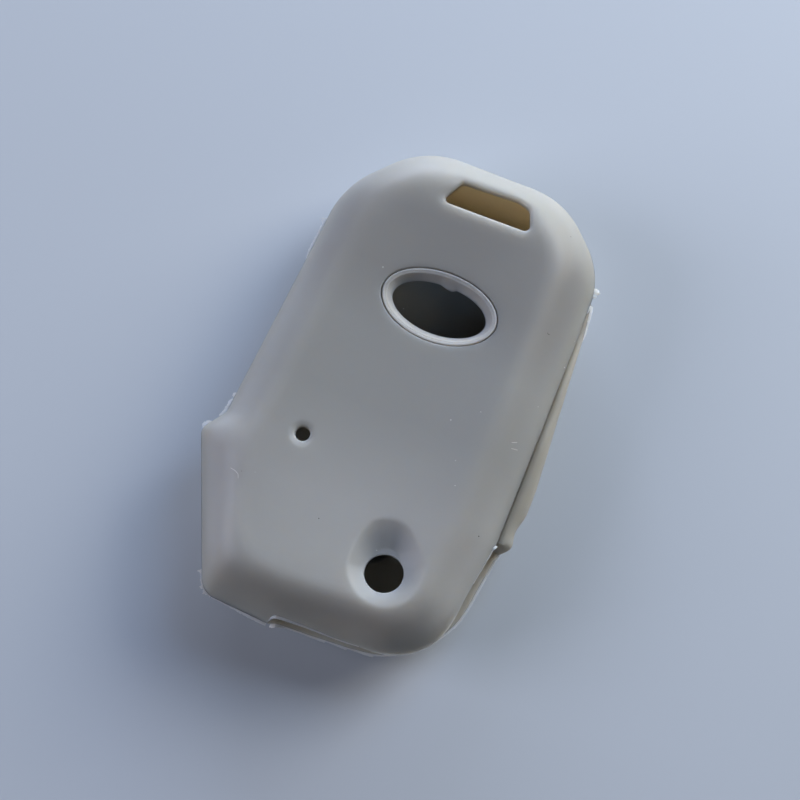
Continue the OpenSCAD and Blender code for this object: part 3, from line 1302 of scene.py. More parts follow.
@dataclass(frozen=True)
class MouldedSilicone:
    """Soft silicone rubber from a fine-blasted steel mould.

    The blasted mould leaves an even, very fine matte face. The rubber is milky, so light goes deep
    into the thin skin: its edges look bright and soft, and the inside glows a warm tan.

    Attributes:
        name: The material's name.
        tone: Its sRGB colour.
        depth_tone: The sRGB colour of its cloudier parts.
        roughness: Roughness of the face.
        through_mm: How far red light goes through it before it is scattered.
        grain_mm: Size of the blasted grain. The real one is under 0.1 mm, and this one shows.
        cloud_mm: Size of its slight cloudiness.
        speck_mm: Spacing of the specks of dust that cling to it.
        painted_face_shading: Painted shade and light on the badge face along Y: darkest round the
        badge, lightest towards the release button.
        face_mm: The heights between which the side turns into the badge face, where the painted
        shade and light take over.
        ior: Its index of refraction, as typical for silicone rubber.
        through_shares: How far red, green and blue light go through it, as shares.
        grain_depth_mm: Depth of the blasted grain.
        grain_share: How much of that depth shows.
        dust: Each kind of speck by its colour, which channel of the random colours picks its cells,
            and above what value.
        speck_shares: Radius of a speck's full colour and of its edge, as shares of the spacing.
        rough_span: How much the roughness goes down and up with the cloudiness.
    """

    name: str
    tone: str
    depth_tone: str
    roughness: float = 0.45
    through_mm: float = 6.3
    grain_mm: float = 0.22
    cloud_mm: float = 9.0
    speck_mm: float = 2.6
    painted_face_shading: tuple[tuple[float, str], ...] = ()
    face_mm: tuple[float, float] = (9.8, 15.0)
    ior: float = 1.41
    through_shares: tuple[float, float, float] = (1.0, 0.85, 0.69)
    grain_depth_mm: float = 0.02
    grain_share: float = 0.12
    dust: tuple[tuple[str, int, float], ...] = (("d9d8d4", 1, 0.9), ("57524c", 0, 0.93))
    speck_shares: tuple[float, float] = (0.03, 0.05)
    rough_span: tuple[float, float] = (-0.05, 0.06)

    def _tone(self, tree: NodeTree, place: NodeSocket, cloud: NodeSocket) -> NodeSocket:
        """Adds the clean rubber's colour: a little cloudy, with painted shade and light on the badge
        face.

        Args:
            tree: The material's node tree.
            place: The place on the piece.
            cloud: The cloudiness.

        Returns:
            The colour.
        """
        side = add_node(
            tree, "ShaderNodeMix",
            {"data_type": "RGBA", "6": hex_to_linear(self.depth_tone), "7": hex_to_linear(self.tone)},
            {"0": cloud},
        )
        if not self.painted_face_shading:
            return side.outputs[2]
        # The badge face gets painted shade and light along Y: darker round the badge, lighter towards
        # the release button.
        axes = add_node(tree, "ShaderNodeSeparateXYZ", None, {"Vector": place})
        start, end = self.painted_face_shading[0][0], self.painted_face_shading[-1][0]
        span = {"From Min": start * MM, "From Max": end * MM}
        along = add_node(tree, "ShaderNodeMapRange", span, {"Value": axes.outputs["Y"]})
        low, high = self.face_mm
        facing = add_node(
            tree, "ShaderNodeMapRange",
            {"interpolation_type": "SMOOTHSTEP", "From Min": low * MM, "From Max": high * MM},
            {"Value": axes.outputs["Z"]},
        )
        face = add_node(tree, "ShaderNodeValToRGB", None, {"Fac": along.outputs[0]})
        stops = face.color_ramp.elements
        while len(stops) < len(self.painted_face_shading):
            stops.new(1.0)
        for stop, (at, code) in zip(stops, self.painted_face_shading):
            stop.position = (at - start) / (end - start)
            stop.color = hex_to_linear(code)
        whole = add_node(
            tree, "ShaderNodeMix", {"data_type": "RGBA"},
            {"0": facing.outputs[0], "6": side.outputs[2], "7": face.outputs[0]},
        )
        return whole.outputs[2]

    def _dusted(self, tree: NodeTree, place: NodeSocket, tone: NodeSocket) -> NodeSocket:
        """Adds the specks of dust, each in the middle of one of the few cells that are picked for it.

        Args:
            tree: The material's node tree.
            place: The place on the piece.
            tone: The colour of the clean rubber.

        Returns:
            The colour with the specks.
        """
        scale = 1 / (self.speck_mm * MM)
        speck = add_node(tree, "ShaderNodeTexVoronoi", {"Scale": scale}, {"Vector": place})
        full, edge = self.speck_shares
        near = add_node(
            tree, "ShaderNodeMapRange",
            {"From Min": full, "From Max": edge, "To Min": 1.0, "To Max": 0.0},
            {"Value": speck.outputs["Distance"]},
        )
        random = add_node(tree, "ShaderNodeSeparateColor", None, {"Color": speck.outputs["Color"]})
        for code, channel, least in self.dust:
            picked = add_node(
                tree, "ShaderNodeMath", {"operation": "GREATER_THAN", "1": least},
                {"0": random.outputs[channel]},
            )
            shown = add_node(
                tree, "ShaderNodeMath", {"operation": "MULTIPLY"},
                {"0": picked.outputs[0], "1": near.outputs[0]},
            )
            mixed = add_node(
                tree, "ShaderNodeMix", {"data_type": "RGBA", "7": hex_to_linear(code)},
                {"0": shown.outputs[0], "6": tone},
            )
            tone = mixed.outputs[2]
        return tone

    def make(self) -> Material:
        """Builds the material.

        Returns:
            The material.
        """
        material, shader, place = start_material(self.name, self.roughness)
        tree = material.node_tree
        scale = 1 / (self.cloud_mm * MM)
        clouds = add_node(tree, "ShaderNodeTexNoise", {"Scale": scale, "Detail": 3.0}, {"Vector": place})
        cloud = clouds.outputs["Fac"]
        scale = 1 / (self.grain_mm * MM)
        grain = add_node(tree, "ShaderNodeTexNoise", {"Scale": scale, "Detail": 2.0}, {"Vector": place})
        bump = add_node(
            tree, "ShaderNodeBump",
            {"Strength": self.grain_share, "Distance": self.grain_depth_mm * MM},
            {"Height": grain.outputs["Fac"]},
        )
        down, up = self.rough_span
        span = {"To Min": self.roughness + down, "To Max": self.roughness + up}
        rough = add_node(tree, "ShaderNodeMapRange", span, {"Value": cloud})
        tone = self._dusted(tree, place, self._tone(tree, place, cloud))
        tree.links.new(tone, shader.inputs["Base Color"])
        tree.links.new(rough.outputs[0], shader.inputs["Roughness"])
        tree.links.new(bump.outputs[0], shader.inputs["Normal"])
        shader.inputs["IOR"].default_value = self.ior
        shader.inputs["Subsurface Weight"].default_value = 1.0
        shader.inputs["Subsurface Radius"].default_value = self.through_shares
        shader.inputs["Subsurface Scale"].default_value = self.through_mm * MM
        return material


@dataclass(frozen=True)
class PrintedInk:
    """Pad-printed silicone ink: a thin even layer with a slightly smoother face than the skin.

    Attributes:
        name: The material's name.
        tone: Its sRGB colour.
        thin_tone: The sRGB colour where it is thin.
        roughness: Roughness of its face.
        mottle_mm: Size of the thinner places.
    """

    name: str
    tone: str
    thin_tone: str = "cfcdc8"
    roughness: float = 0.45
    mottle_mm: float = 0.8

    def make(self) -> Material:
        """Builds the material.

        Returns:
            The material.
        """
        material, shader, place = start_material(self.name, self.roughness)
        tree = material.node_tree
        scale = 1 / (self.mottle_mm * MM)
        mottle = add_node(tree, "ShaderNodeTexNoise", {"Scale": scale, "Detail": 3.0}, {"Vector": place})
        tone = add_node(
            tree, "ShaderNodeMix",
            {"data_type": "RGBA", "6": hex_to_linear(self.thin_tone), "7": hex_to_linear(self.tone)},
            {"0": mottle.outputs["Fac"]},
        )
        tree.links.new(tone.outputs[2], shader.inputs["Base Color"])
        return material


@dataclass(frozen=True)
class Lint:
    """Loose textile lint: fuzzy fibres with no gloss, a little uneven along their length.

    Attributes:
        name: The material's name.
        tone: Its sRGB colour.
        shade: How dark its darkest places are, as a share.
        fuzz_mm: Size of the uneven places.
        roughness: Roughness of the fibres.
    """

    name: str
    tone: str
    shade: float = 0.75
    fuzz_mm: float = 0.3
    roughness: float = 0.9

    def make(self) -> Material:
        """Builds the material.

        Returns:
            The material.
        """
        material, shader, place = start_material(self.name, self.roughness)
        tree = material.node_tree
        scale = 1 / (self.fuzz_mm * MM)
        fuzz = add_node(tree, "ShaderNodeTexNoise", {"Scale": scale, "Detail": 2.0}, {"Vector": place})
        full = hex_to_linear(self.tone)
        shaded = (*(part * self.shade for part in full[:3]), 1.0)
        tone = add_node(
            tree, "ShaderNodeMix", {"data_type": "RGBA", "6": shaded, "7": full},
            {"0": fuzz.outputs["Fac"]},
        )
        tree.links.new(tone.outputs[2], shader.inputs["Base Color"])
        return material


@dataclass(frozen=True)
class PaintedBoard:
    """A board painted in a pale blue-grey eggshell paint, which the cover lies on.

    Attributes:
        name: The material's name.
        tone: Its sRGB colour.
        far_tone: The sRGB colour that the camera sees far away, past the lamps' reach.
        far_mm: Distances from the cover between which that colour takes over.
        roughness: Roughness of the paint.
    """

    name: str = "floor_paint"
    tone: str = "c4cbd3"
    far_tone: str = "a7b3c5"
    far_mm: tuple[float, float] = (120.0, 550.0)
    roughness: float = 0.6

    def make(self) -> Material:
        """Builds the material, which far from the cover is one even pale colour to the camera.

        Returns:
            The material.
        """
        material, shader, place = start_material(self.name, self.roughness)
        tree = material.node_tree
        shader.inputs["Base Color"].default_value = hex_to_linear(self.tone)
        reach = add_node(tree, "ShaderNodeVectorMath", {"operation": "LENGTH"}, {"0": place})
        near_mm, far_mm = self.far_mm
        far = add_node(
            tree, "ShaderNodeMapRange",
            {"interpolation_type": "SMOOTHSTEP", "From Min": near_mm * MM, "From Max": far_mm * MM},
            {"Value": reach.outputs["Value"]},
        )
        path = add_node(tree, "ShaderNodeLightPath")
        share = add_node(
            tree, "ShaderNodeMath", {"operation": "MULTIPLY"},
            {"0": far.outputs[0], "1": path.outputs["Is Camera Ray"]},
        )
        far_tone = hex_to_linear(self.far_tone)
        even = add_node(tree, "ShaderNodeEmission", {"Color": far_tone, "Strength": 1.0})
        mixed = add_node(
            tree, "ShaderNodeMixShader", None,
            {"0": share.outputs[0], "1": shader.outputs[0], "2": even.outputs[0]},
        )
        tree.links.new(mixed.outputs[0], tree.nodes["Material Output"].inputs["Surface"])
        return material


# Pieces


@dataclass
class BadgeRim:
    """The light ring round the badge window, bounded outside by a fine groove.

    Attributes:
        oval: The badge window.
        top: Height of its outer edge before the hang.
        low: Height of its underside before the hang.
        groove: Width of the groove.
        face: Width of its face.
        slope: Width of the slope inside the face.
        nib_at: Where the nib of flash is, in degrees.
        nib: How far the nib stands in.
        nib_from_share: Where on the slope it starts, as a share.
        nib_far: How far past its place it ends, and over how much, in degrees.
        nib_near: The same before its place.
    """

    oval: Oval
    top: float = 17.94
    low: float = 16.45
    groove: float = 0.22
    face: float = 0.75
    slope: float = 0.85
    nib_at: float = 88.0
    nib: float = 0.45
    nib_from_share: float = 0.6
    nib_far: tuple[float, float] = (26.0, 28.0)
    nib_near: tuple[float, float] = (17.0, 5.0)

    def build(self, half: SkinHalf, finish: Material) -> Object:
        """Builds the ring in the badge side's window.

        Args:
            half: The badge side, already built.
            finish: The ring's material.

        Returns:
            The ring's object.
        """
        g, f = self.groove, self.groove + self.face
        # Inset and height of each edge of the ring's section, from the groove over the face and inside.
        top, step = self.top, g + 0.55 * self.face
        section = [
            (0.02, self.low), (0.02, top - 1.0), (g, top - 0.95), (g, top - 0.1), (g + 0.03, top - 0.03),
            (g + 0.1, top), (step - 0.04, top - 0.07), (step, top - 0.12), (step + 0.04, top - 0.11),
            (f - 0.1, top - 0.17), (f - 0.03, top - 0.22), (f, top - 0.3),
            (f + 0.5 * self.slope, top - 0.8), (f + self.slope - 0.08, self.low + 0.12),
            (f + self.slope, self.low + 0.04), (f + self.slope - 0.06, self.low),
        ]
        parts = MeshParts()
        loops = []
        for inset, height in section:
            ring = self._nib(self.oval.inset(inset), inset, f)
            loops.append(parts.add_points(np.c_[ring, height - half.slack(ring)]))
        parts.bridge(loops, closed=True)
        return parts.to_object("emblem_rim_ring", finish, 60.0)

    def _nib(self, ring: np.ndarray, inset: float, start: float) -> np.ndarray:
        """Lets a small nib of flash stand in from the lower inside edge, as the moulding left it.

        Args:
            ring: One loop of the ring's section.
            inset: Its inset.
            start: Where the slope inside the face starts.

        Returns:
            The loop, with the nib if it lies low enough.
        """
        if inset < start + self.nib_from_share * self.slope:
            return ring
        towards = np.array(self.oval.centre) - ring
        turn = np.degrees(np.arctan2(-towards[:, 1], -towards[:, 0])) - self.nib_at
        (far, far_fade), (near, near_fade) = self.nib_far, self.nib_near
        bump = self.nib * smooth((far - turn) / far_fade) * smooth((turn + near) / near_fade)
        return ring + towards / np.linalg.norm(towards, axis=1)[:, None] * bump[:, None]


class Pictogram(Enum):
    """Generic signs on the press pads."""

    CLOSED_LOCK = "lock"
    OPEN_LOCK = "unlock"
    BOOT = "boot"


@dataclass
class PressPad:
    """A press pad of the button side with its sign, its nub and the sloping web round it.

    Attributes:
        sign: The sign.
        middle: Middle of the pad.
        wide: Its width.
        high: Its length along Y.
        corner: Radius of its corners.
        face: Height of its face.
        top: Height of its back.
        nub: Radius of the nub.
        nub_high: Height of the nub.
        web_wide: Width of the web.
        web_low: Height of the web's face at the pad.
        web_high: Height of the web's face at the skin.
        web_thick: Thickness of the web.
        ink: Thickness of the sign.
    """

    sign: Pictogram
    middle: tuple[float, float]
    wide: float = 14.0
    high: float = 9.0
    corner: float = 3.6
    face: float = 0.2
    top: float = 2.1
    web_wide: float = 1.3
    web_low: float = 0.56
    web_high: float = 1.56
    web_thick: float = 0.4
    nub: float = 1.5
    nub_high: float = 1.0
    ink: float = 0.1

    def loop(self) -> RoundedLoop:
        """Returns the pad's outline."""
        return rounded_box(self.middle, self.wide / 2, self.high / 2, self.corner)

    def opening(self) -> RoundedLoop:
        """Returns the outline of the skin's opening, in which the web is fixed."""
        half_x, half_y = self.wide / 2 + self.web_wide, self.high / 2 + self.web_wide
        return rounded_box(self.middle, half_x, half_y, self.corner + 0.75 * self.web_wide)

    def build_pad(self, finish: Material) -> Object:
        """Builds the pad with its pillowed face and the nub behind it.

        Args:
            finish: Its material.

        Returns:
            The object.
        """
        loop = self.loop()
        parts = MeshParts()
        section = [
            (3.2, self.face), (1.8, self.face + 0.02), (0.9, self.face + 0.09), (0.4, self.face + 0.24),
            (0.12, self.face + 0.48), (0.0, self.face + 0.8), (0.0, self.top - 0.15), (0.15, self.top),
        ]
        loops = []
        for inset, height in section:
            ring = loop.inset(inset)
            loops.append(parts.add_points(np.c_[ring, np.full(len(ring), height)]))
        parts.bridge(loops)
        parts.cap(loops[0], (*self.middle, self.face))
        # The nub's rings start where the pad's outline does.
        first = loop.inset(0.0)[0] - np.array(self.middle)
        nub = Oval(self.middle, self.nub, self.nub, len(loop.inset(0.0)))
        arms = nub.inset(0.0) - np.array(self.middle)
        turns = np.arctan2(arms[:, 1], arms[:, 0]) - math.atan2(first[1], first[0])
        start = int(np.abs(turns).argmin())
        for inset, share in ((0.0, 0.0), (0.0, 0.8), (0.2, 0.98)):
            height = np.full(nub.points, self.top + share * self.nub_high)
            loops.append(parts.add_points(np.c_[np.roll(nub.inset(inset), -start, axis=0), height]))
        parts.bridge(loops[-4:])
        parts.cap(loops[-1], (*self.middle, self.top + self.nub_high))
        return parts.to_object(f"{self.sign.value}_pad_face", finish, 55.0)

    def build_web(self, finish: Material) -> Object:
        """Builds the web between the pad and the skin, with a soft bend at each end.

        Args:
            finish: Its material.

        Returns:
            The object.
        """
        loop = self.loop()
        parts = MeshParts()
        under, over = [], []
        for t in np.linspace(0.0, 1.0, 9):
            ring = loop.inset(-self.web_wide * t)
            low = self.web_low + (self.web_high - self.web_low) * float(smooth(t))
            under.append(parts.add_points(np.c_[ring, np.full(len(ring), low)]))
            over.append(parts.add_points(np.c_[ring, np.full(len(ring), low + self.web_thick)]))
        parts.bridge([*under, *reversed(over)], closed=True)
        return parts.to_object(f"{self.sign.value}_pad_web", finish, 55.0)

    def build_sign(self, finish: Material) -> Object:
        """Builds the raised sign on the pad's face, as it reads from below.

        Args:
            finish: The ink.

        Returns:
            The object.
        """
        parts = MeshParts()
        for outline in self._sign_outlines():
            # Seen from below, X runs the other way.
            flat = np.array(self.middle) + outline * np.array([-1.0, 1.0])
            shrunk = flat + (flat.mean(axis=0) - flat) * 0.02
            loops = []
            for ring, share in ((flat, -0.3), (flat, 0.7), (shrunk, 1.0)):
                height = np.full(len(flat), self.face - share * self.ink)
                loops.append(parts.add_points(np.c_[ring, height]))
            parts.bridge(loops)
            parts.faces.append(tuple(int(i) for i in loops[-1]))
            parts.faces.append(tuple(int(i) for i in reversed(loops[0])))
        return parts.to_object(f"{self.sign.value}_sign", finish, 40.0)

    def _sign_outlines(self) -> list[np.ndarray]:
        """Draws the sign.

        Returns:
            Its closed outlines.
        """
        if self.sign is Pictogram.BOOT:
            body = [
                (-3.3, -1.1), (3.3, -1.1), (3.3, -0.1), (2.7, 0.2), (1.5, 0.3), (0.8, 1.2), (-0.9, 1.2),
                (-1.7, 0.3), (-3.1, 0.2), (-3.3, -0.2),
            ]
            lid = [(-1.75, 0.5), (-1.45, 0.62), (-2.9, 2.3), (-3.25, 2.15)]
            wheels = [Oval((x, -1.35), 0.62, 0.62, 24).inset(0.0) for x in (-1.9, 1.9)]
            return [np.array(body), np.array(lid), *wheels]
        case = rounded_box((0.0, -0.8), 1.5, 1.2, 0.3, 2.0, 5)
        # The open lock's shackle is raised, and ends above the case on one side.
        closed = self.sign is Pictogram.CLOSED_LOCK
        middle, start, leg = (0.95, 0, 0.42) if closed else (0.95 + 0.55, 35, 0.42)
        wide, narrow = 1.15, 0.75
        turn = np.radians(np.linspace(start, 180, 22))
        outer = np.stack([wide * np.cos(turn), middle + wide * np.sin(turn)], axis=1)
        inner = np.stack([narrow * np.cos(turn), middle + narrow * np.sin(turn)], axis=1)[::-1]
        legs_left = [(-wide, leg), (-narrow, leg)]
        legs_right = [(narrow, leg), (wide, leg)] if closed else []
        return [case.inset(0.0), np.array([*outer, *legs_left, *inner, *legs_right])]


@dataclass(frozen=True)
class FlashFin:
    """A thin ragged fin of flash that the mould left along an edge of the skin.

    Attributes:
        name: The piece's name.
        heights: How far it stands out, by length round the outline from the slot's start.
        thick: Its thickness at the root.
        seed: Seed of its ragged edge.
        ragged: How ragged that edge is, as a share of its height.
        step: Distance between its points.
        spill: How far it may stand past the cover's overall length and width.
        root: How deep its root is sunk in the skin.
        droop: How far it droops or rises, as a share of its height.
    """

    name: str
    heights: Stations
    thick: float = 0.1
    seed: int = SEED
    ragged: float = 0.25
    step: float = 0.12
    spill: float = 0.4
    root: float = 0.06
    droop: float = 0.35

    def build(self, half: SkinHalf, finish: Material) -> Object:
        """Builds the fin along the edge of a half.

        Args:
            half: The half, already built.
            finish: The fin's material.

        Returns:
            The fin's object.
        """
        first, last = self.heights[0][0], self.heights[-1][0]
        fine = np.arange(first, last, self.step)
        order = np.argsort(half.length)
        length = half.length[order]
        base = np.stack([np.interp(fine, length, half.edge[order, k]) for k in range(3)], axis=1)
        out = np.stack([np.interp(fine, length, half.normal[order, k]) for k in range(2)], axis=1)
        random = np.random.default_rng(self.seed)
        tall = np.interp(fine, *np.array(self.heights).T)
        tall = tall * (1.0 + self.ragged * random.uniform(-1.0, 1.0, len(fine)))
        window = np.ones(5) / 5
        droop = random.uniform(-self.droop, self.droop, len(fine) + len(window) - 1)
        droop = np.convolve(droop, window, "valid") * tall
        # The flash stands out past the cover's overall length and width only a little.
        box = half.base.min(axis=0) - self.spill, half.base.max(axis=0) + self.spill
        root = base[:, :2] - out * self.root
        tip = np.clip(base[:, :2] + out * tall[:, None], *box)
        parts = MeshParts()
        half_root, half_tip = self.thick / 2, self.thick / 5
        rows = ((root, half_root), (tip, droop + half_tip), (tip, droop - half_tip), (root, -half_root))
        section = [parts.add_points(np.c_[flat, base[:, 2] + more]) for flat, more in rows]
        for a, b in zip(section, section[1:] + section[:1]):
            for i in range(len(fine) - 1):
                parts.faces.append((int(a[i]), int(a[i + 1]), int(b[i + 1]), int(b[i])))
        for i in (0, len(fine) - 1):
            parts.faces.append(tuple(int(s[i]) for s in section))
        return parts.to_object(self.name, finish, 30.0)


@dataclass(frozen=True)
class Fibre:
    """A thin fibre or a crumb that clings to the skin.

    Attributes:
        path: Its plane points.
        thick: Its thickness.
        step: Distance between the rings along it.
        sides: Points on each ring.
        end_share: Size of its first and last ring, as a share.
        lift_share: How high its middle lies over the skin, as a share of its thickness.
    """

    path: tuple[tuple[float, float], ...]
    thick: float = 0.1
    step: float = 0.15
    sides: int = 6
    end_share: float = 0.35
    lift_share: float = 0.4

    def add_to(self, parts: MeshParts, skin: BVHTree) -> None:
        """Adds the fibre to a mesh, lying on the skin.

        Args:
            parts: The mesh.
            skin: The skin's own faces, in metres.
        """
        flat = np.array(self.path)
        length = np.concatenate([[0.0], np.cumsum(np.linalg.norm(np.diff(flat, axis=0), axis=1))])
        fine = np.linspace(0.0, length[-1], max(3, round(length[-1] / self.step)))
        flat = np.stack([np.interp(fine, length, flat[:, k]) for k in range(2)], axis=1)
        side = np.gradient(flat, axis=0)
        side = np.stack([-side[:, 1], side[:, 0]], axis=1) / np.linalg.norm(side, axis=1)[:, None]
        down, start = Vector((0.0, 0.0, -1.0)), 100.0 * MM
        turns = np.radians(np.arange(self.sides) * 360.0 / self.sides)
        loops = []
        for k, (place, across) in enumerate(zip(flat, side)):
            skin_height = skin.ray_cast(Vector((place[0] * MM, place[1] * MM, start)), down)[0][2] / MM
            radius = 0.5 * self.thick * (self.end_share if k in (0, len(flat) - 1) else 1.0)
            height = skin_height + self.lift_share * self.thick + radius * np.sin(turns)
            ring = place + np.cos(turns)[:, None] * radius * across
            loops.append(parts.add_points(np.c_[ring, height]))
        parts.bridge(loops)
        parts.faces.append(tuple(int(i) for i in loops[0]))
        parts.faces.append(tuple(int(i) for i in reversed(loops[-1])))


# Studio


@dataclass(frozen=True)
class Lamp:
    """A soft light that faces the cover.

    Attributes:
        name: Its name.
        turn: Where it stands, in degrees clockwise round the picture from its top.
        rise: Its height over the horizon, in degrees.
        power: Its power in watts.
        tone: Its sRGB colour.
        wide: Its width in millimetres.
        high: Its height in millimetres.
    """

    name: str
    turn: float
    rise: float
    power: float
    tone: str
    wide: float = 420.0
    high: float = 420.0


@dataclass(frozen=True)
class Studio:
    """Camera, lights and floor.

    Attributes:
        target: What the camera looks at.
        azimuth: The camera's turn in degrees.
        elevation: Its height over the horizon in degrees.
        distance: Its distance.
        lens: Its focal length.
        sensor: Width of its sensor.
        lamp_distance: Distance of the lights.
        lamp_target: Height of the point that they face.
        floor: Half the width of the floor.
        room_tone: The sRGB colour of the room's own faint light.
        room_light: Strength of that light.
        lamps: The lights.
    """

    target: tuple[float, float, float] = (0.55, -0.75, 9.0)
    azimuth: float = 22.5
    elevation: float = 75.0
    distance: float = 215.0
    lens: float = 63.0
    sensor: float = 36.0
    lamp_distance: float = 750.0
    lamp_target: float = 8.0
    floor: float = 1500.0
    room_tone: str = "dfe6f2"
    room_light: float = 0.01
    # A window low beyond the key-ring end and to its right, sky over it, and a pale wall to the left
    lamps: tuple[Lamp, ...] = (
        Lamp("window_low", 0.0, 12.0, 3.42, "d9e5ff", high=300.0),
        Lamp("window_low_right", 30.0, 12.0, 1.27, "f2fff4", high=300.0),
        Lamp("window_right", 60.0, 27.0, 4.05, "fff9f0"),
        Lamp("sky", 45.0, 42.0, 2.06, "b4d3ff"),
        Lamp("wall", -90.0, 27.0, 2.65, "ebedff"),
    )

    def make_camera(self) -> None:
        """Places the camera at the photograph's angle."""
        a, e = math.radians(self.azimuth), math.radians(self.elevation)
        back = Vector((math.sin(a) * math.cos(e), -math.cos(a) * math.cos(e), math.sin(e)))
        data = bpy.data.cameras.new("camera")
        data.lens = self.lens
        data.sensor_width = self.sensor
        data.sensor_fit = "HORIZONTAL"
        data.clip_start = 10.0 * MM
        camera = bpy.data.objects.new("camera", data)
        bpy.context.scene.collection.objects.link(camera)
        camera.location = (Vector(self.target) + back * self.distance) * MM
        camera.rotation_euler = back.to_track_quat("Z", "Y").to_euler()
        bpy.context.scene.camera = camera

    def make_lamp(self, lamp: Lamp) -> None:
        """Adds one of the lights, which the camera doesn't see.

        Args:
            lamp: The light.
        """
        turn, rise = math.radians(self.azimuth - lamp.turn), math.radians(lamp.rise)
        flat = math.cos(rise)
        towards = Vector((-math.sin(turn) * flat, math.cos(turn) * flat, math.sin(rise)))
        data = bpy.data.lights.new(lamp.name, "AREA")
        data.shape = "RECTANGLE"
        data.size = lamp.wide * MM
        data.size_y = lamp.high * MM
        data.energy = lamp.power
        data.color = hex_to_linear(lamp.tone)[:3]
        light = bpy.data.objects.new(lamp.name, data)
        bpy.context.scene.collection.objects.link(light)
        light.location = towards * self.lamp_distance * MM + Vector((0.0, 0.0, self.lamp_target * MM))
        light.rotation_euler = towards.to_track_quat("Z", "Y").to_euler()
        light.visible_camera = False

    def make_world(self) -> None:
        """Sets the faint even light of the room, and the pale backdrop that the camera sees."""
        world = bpy.data.worlds.new("room")
        world.use_nodes = True
        tree = world.node_tree
        faint = tree.nodes["Background"]
        faint.inputs["Color"].default_value = hex_to_linear(self.room_tone)
        faint.inputs["Strength"].default_value = self.room_light
        far_tone = hex_to_linear(PaintedBoard.far_tone)
        seen = add_node(tree, "ShaderNodeBackground", {"Color": far_tone, "Strength": 1.0})
        path = add_node(tree, "ShaderNodeLightPath")
        mixed = add_node(
            tree, "ShaderNodeMixShader", None,
            {"0": path.outputs["Is Camera Ray"], "1": faint.outputs[0], "2": seen.outputs[0]},
        )
        tree.links.new(mixed.outputs[0], tree.nodes["World Output"].inputs["Surface"])
        bpy.context.scene.world = world

    def make_floor(self, finish: Material) -> None:
        """Lays the floor under the cover.

        Args:
            finish: The floor's paint.
        """
        parts = MeshParts()
        signs = ((-1, -1), (1, -1), (1, 1), (-1, 1))
        parts.add_points(np.array([(x * self.floor, y * self.floor, 0.0) for x, y in signs]))
        parts.faces.append((0, 1, 2, 3))
        floor = parts.to_object("floor", finish)

    def build(self) -> None:
        """Builds the whole studio."""
        self.make_camera()
        self.make_world()
        self.make_floor(PaintedBoard().make())
        for lamp in self.lamps:
            self.make_lamp(lamp)
        bpy.context.scene.view_settings.view_transform = "Standard"


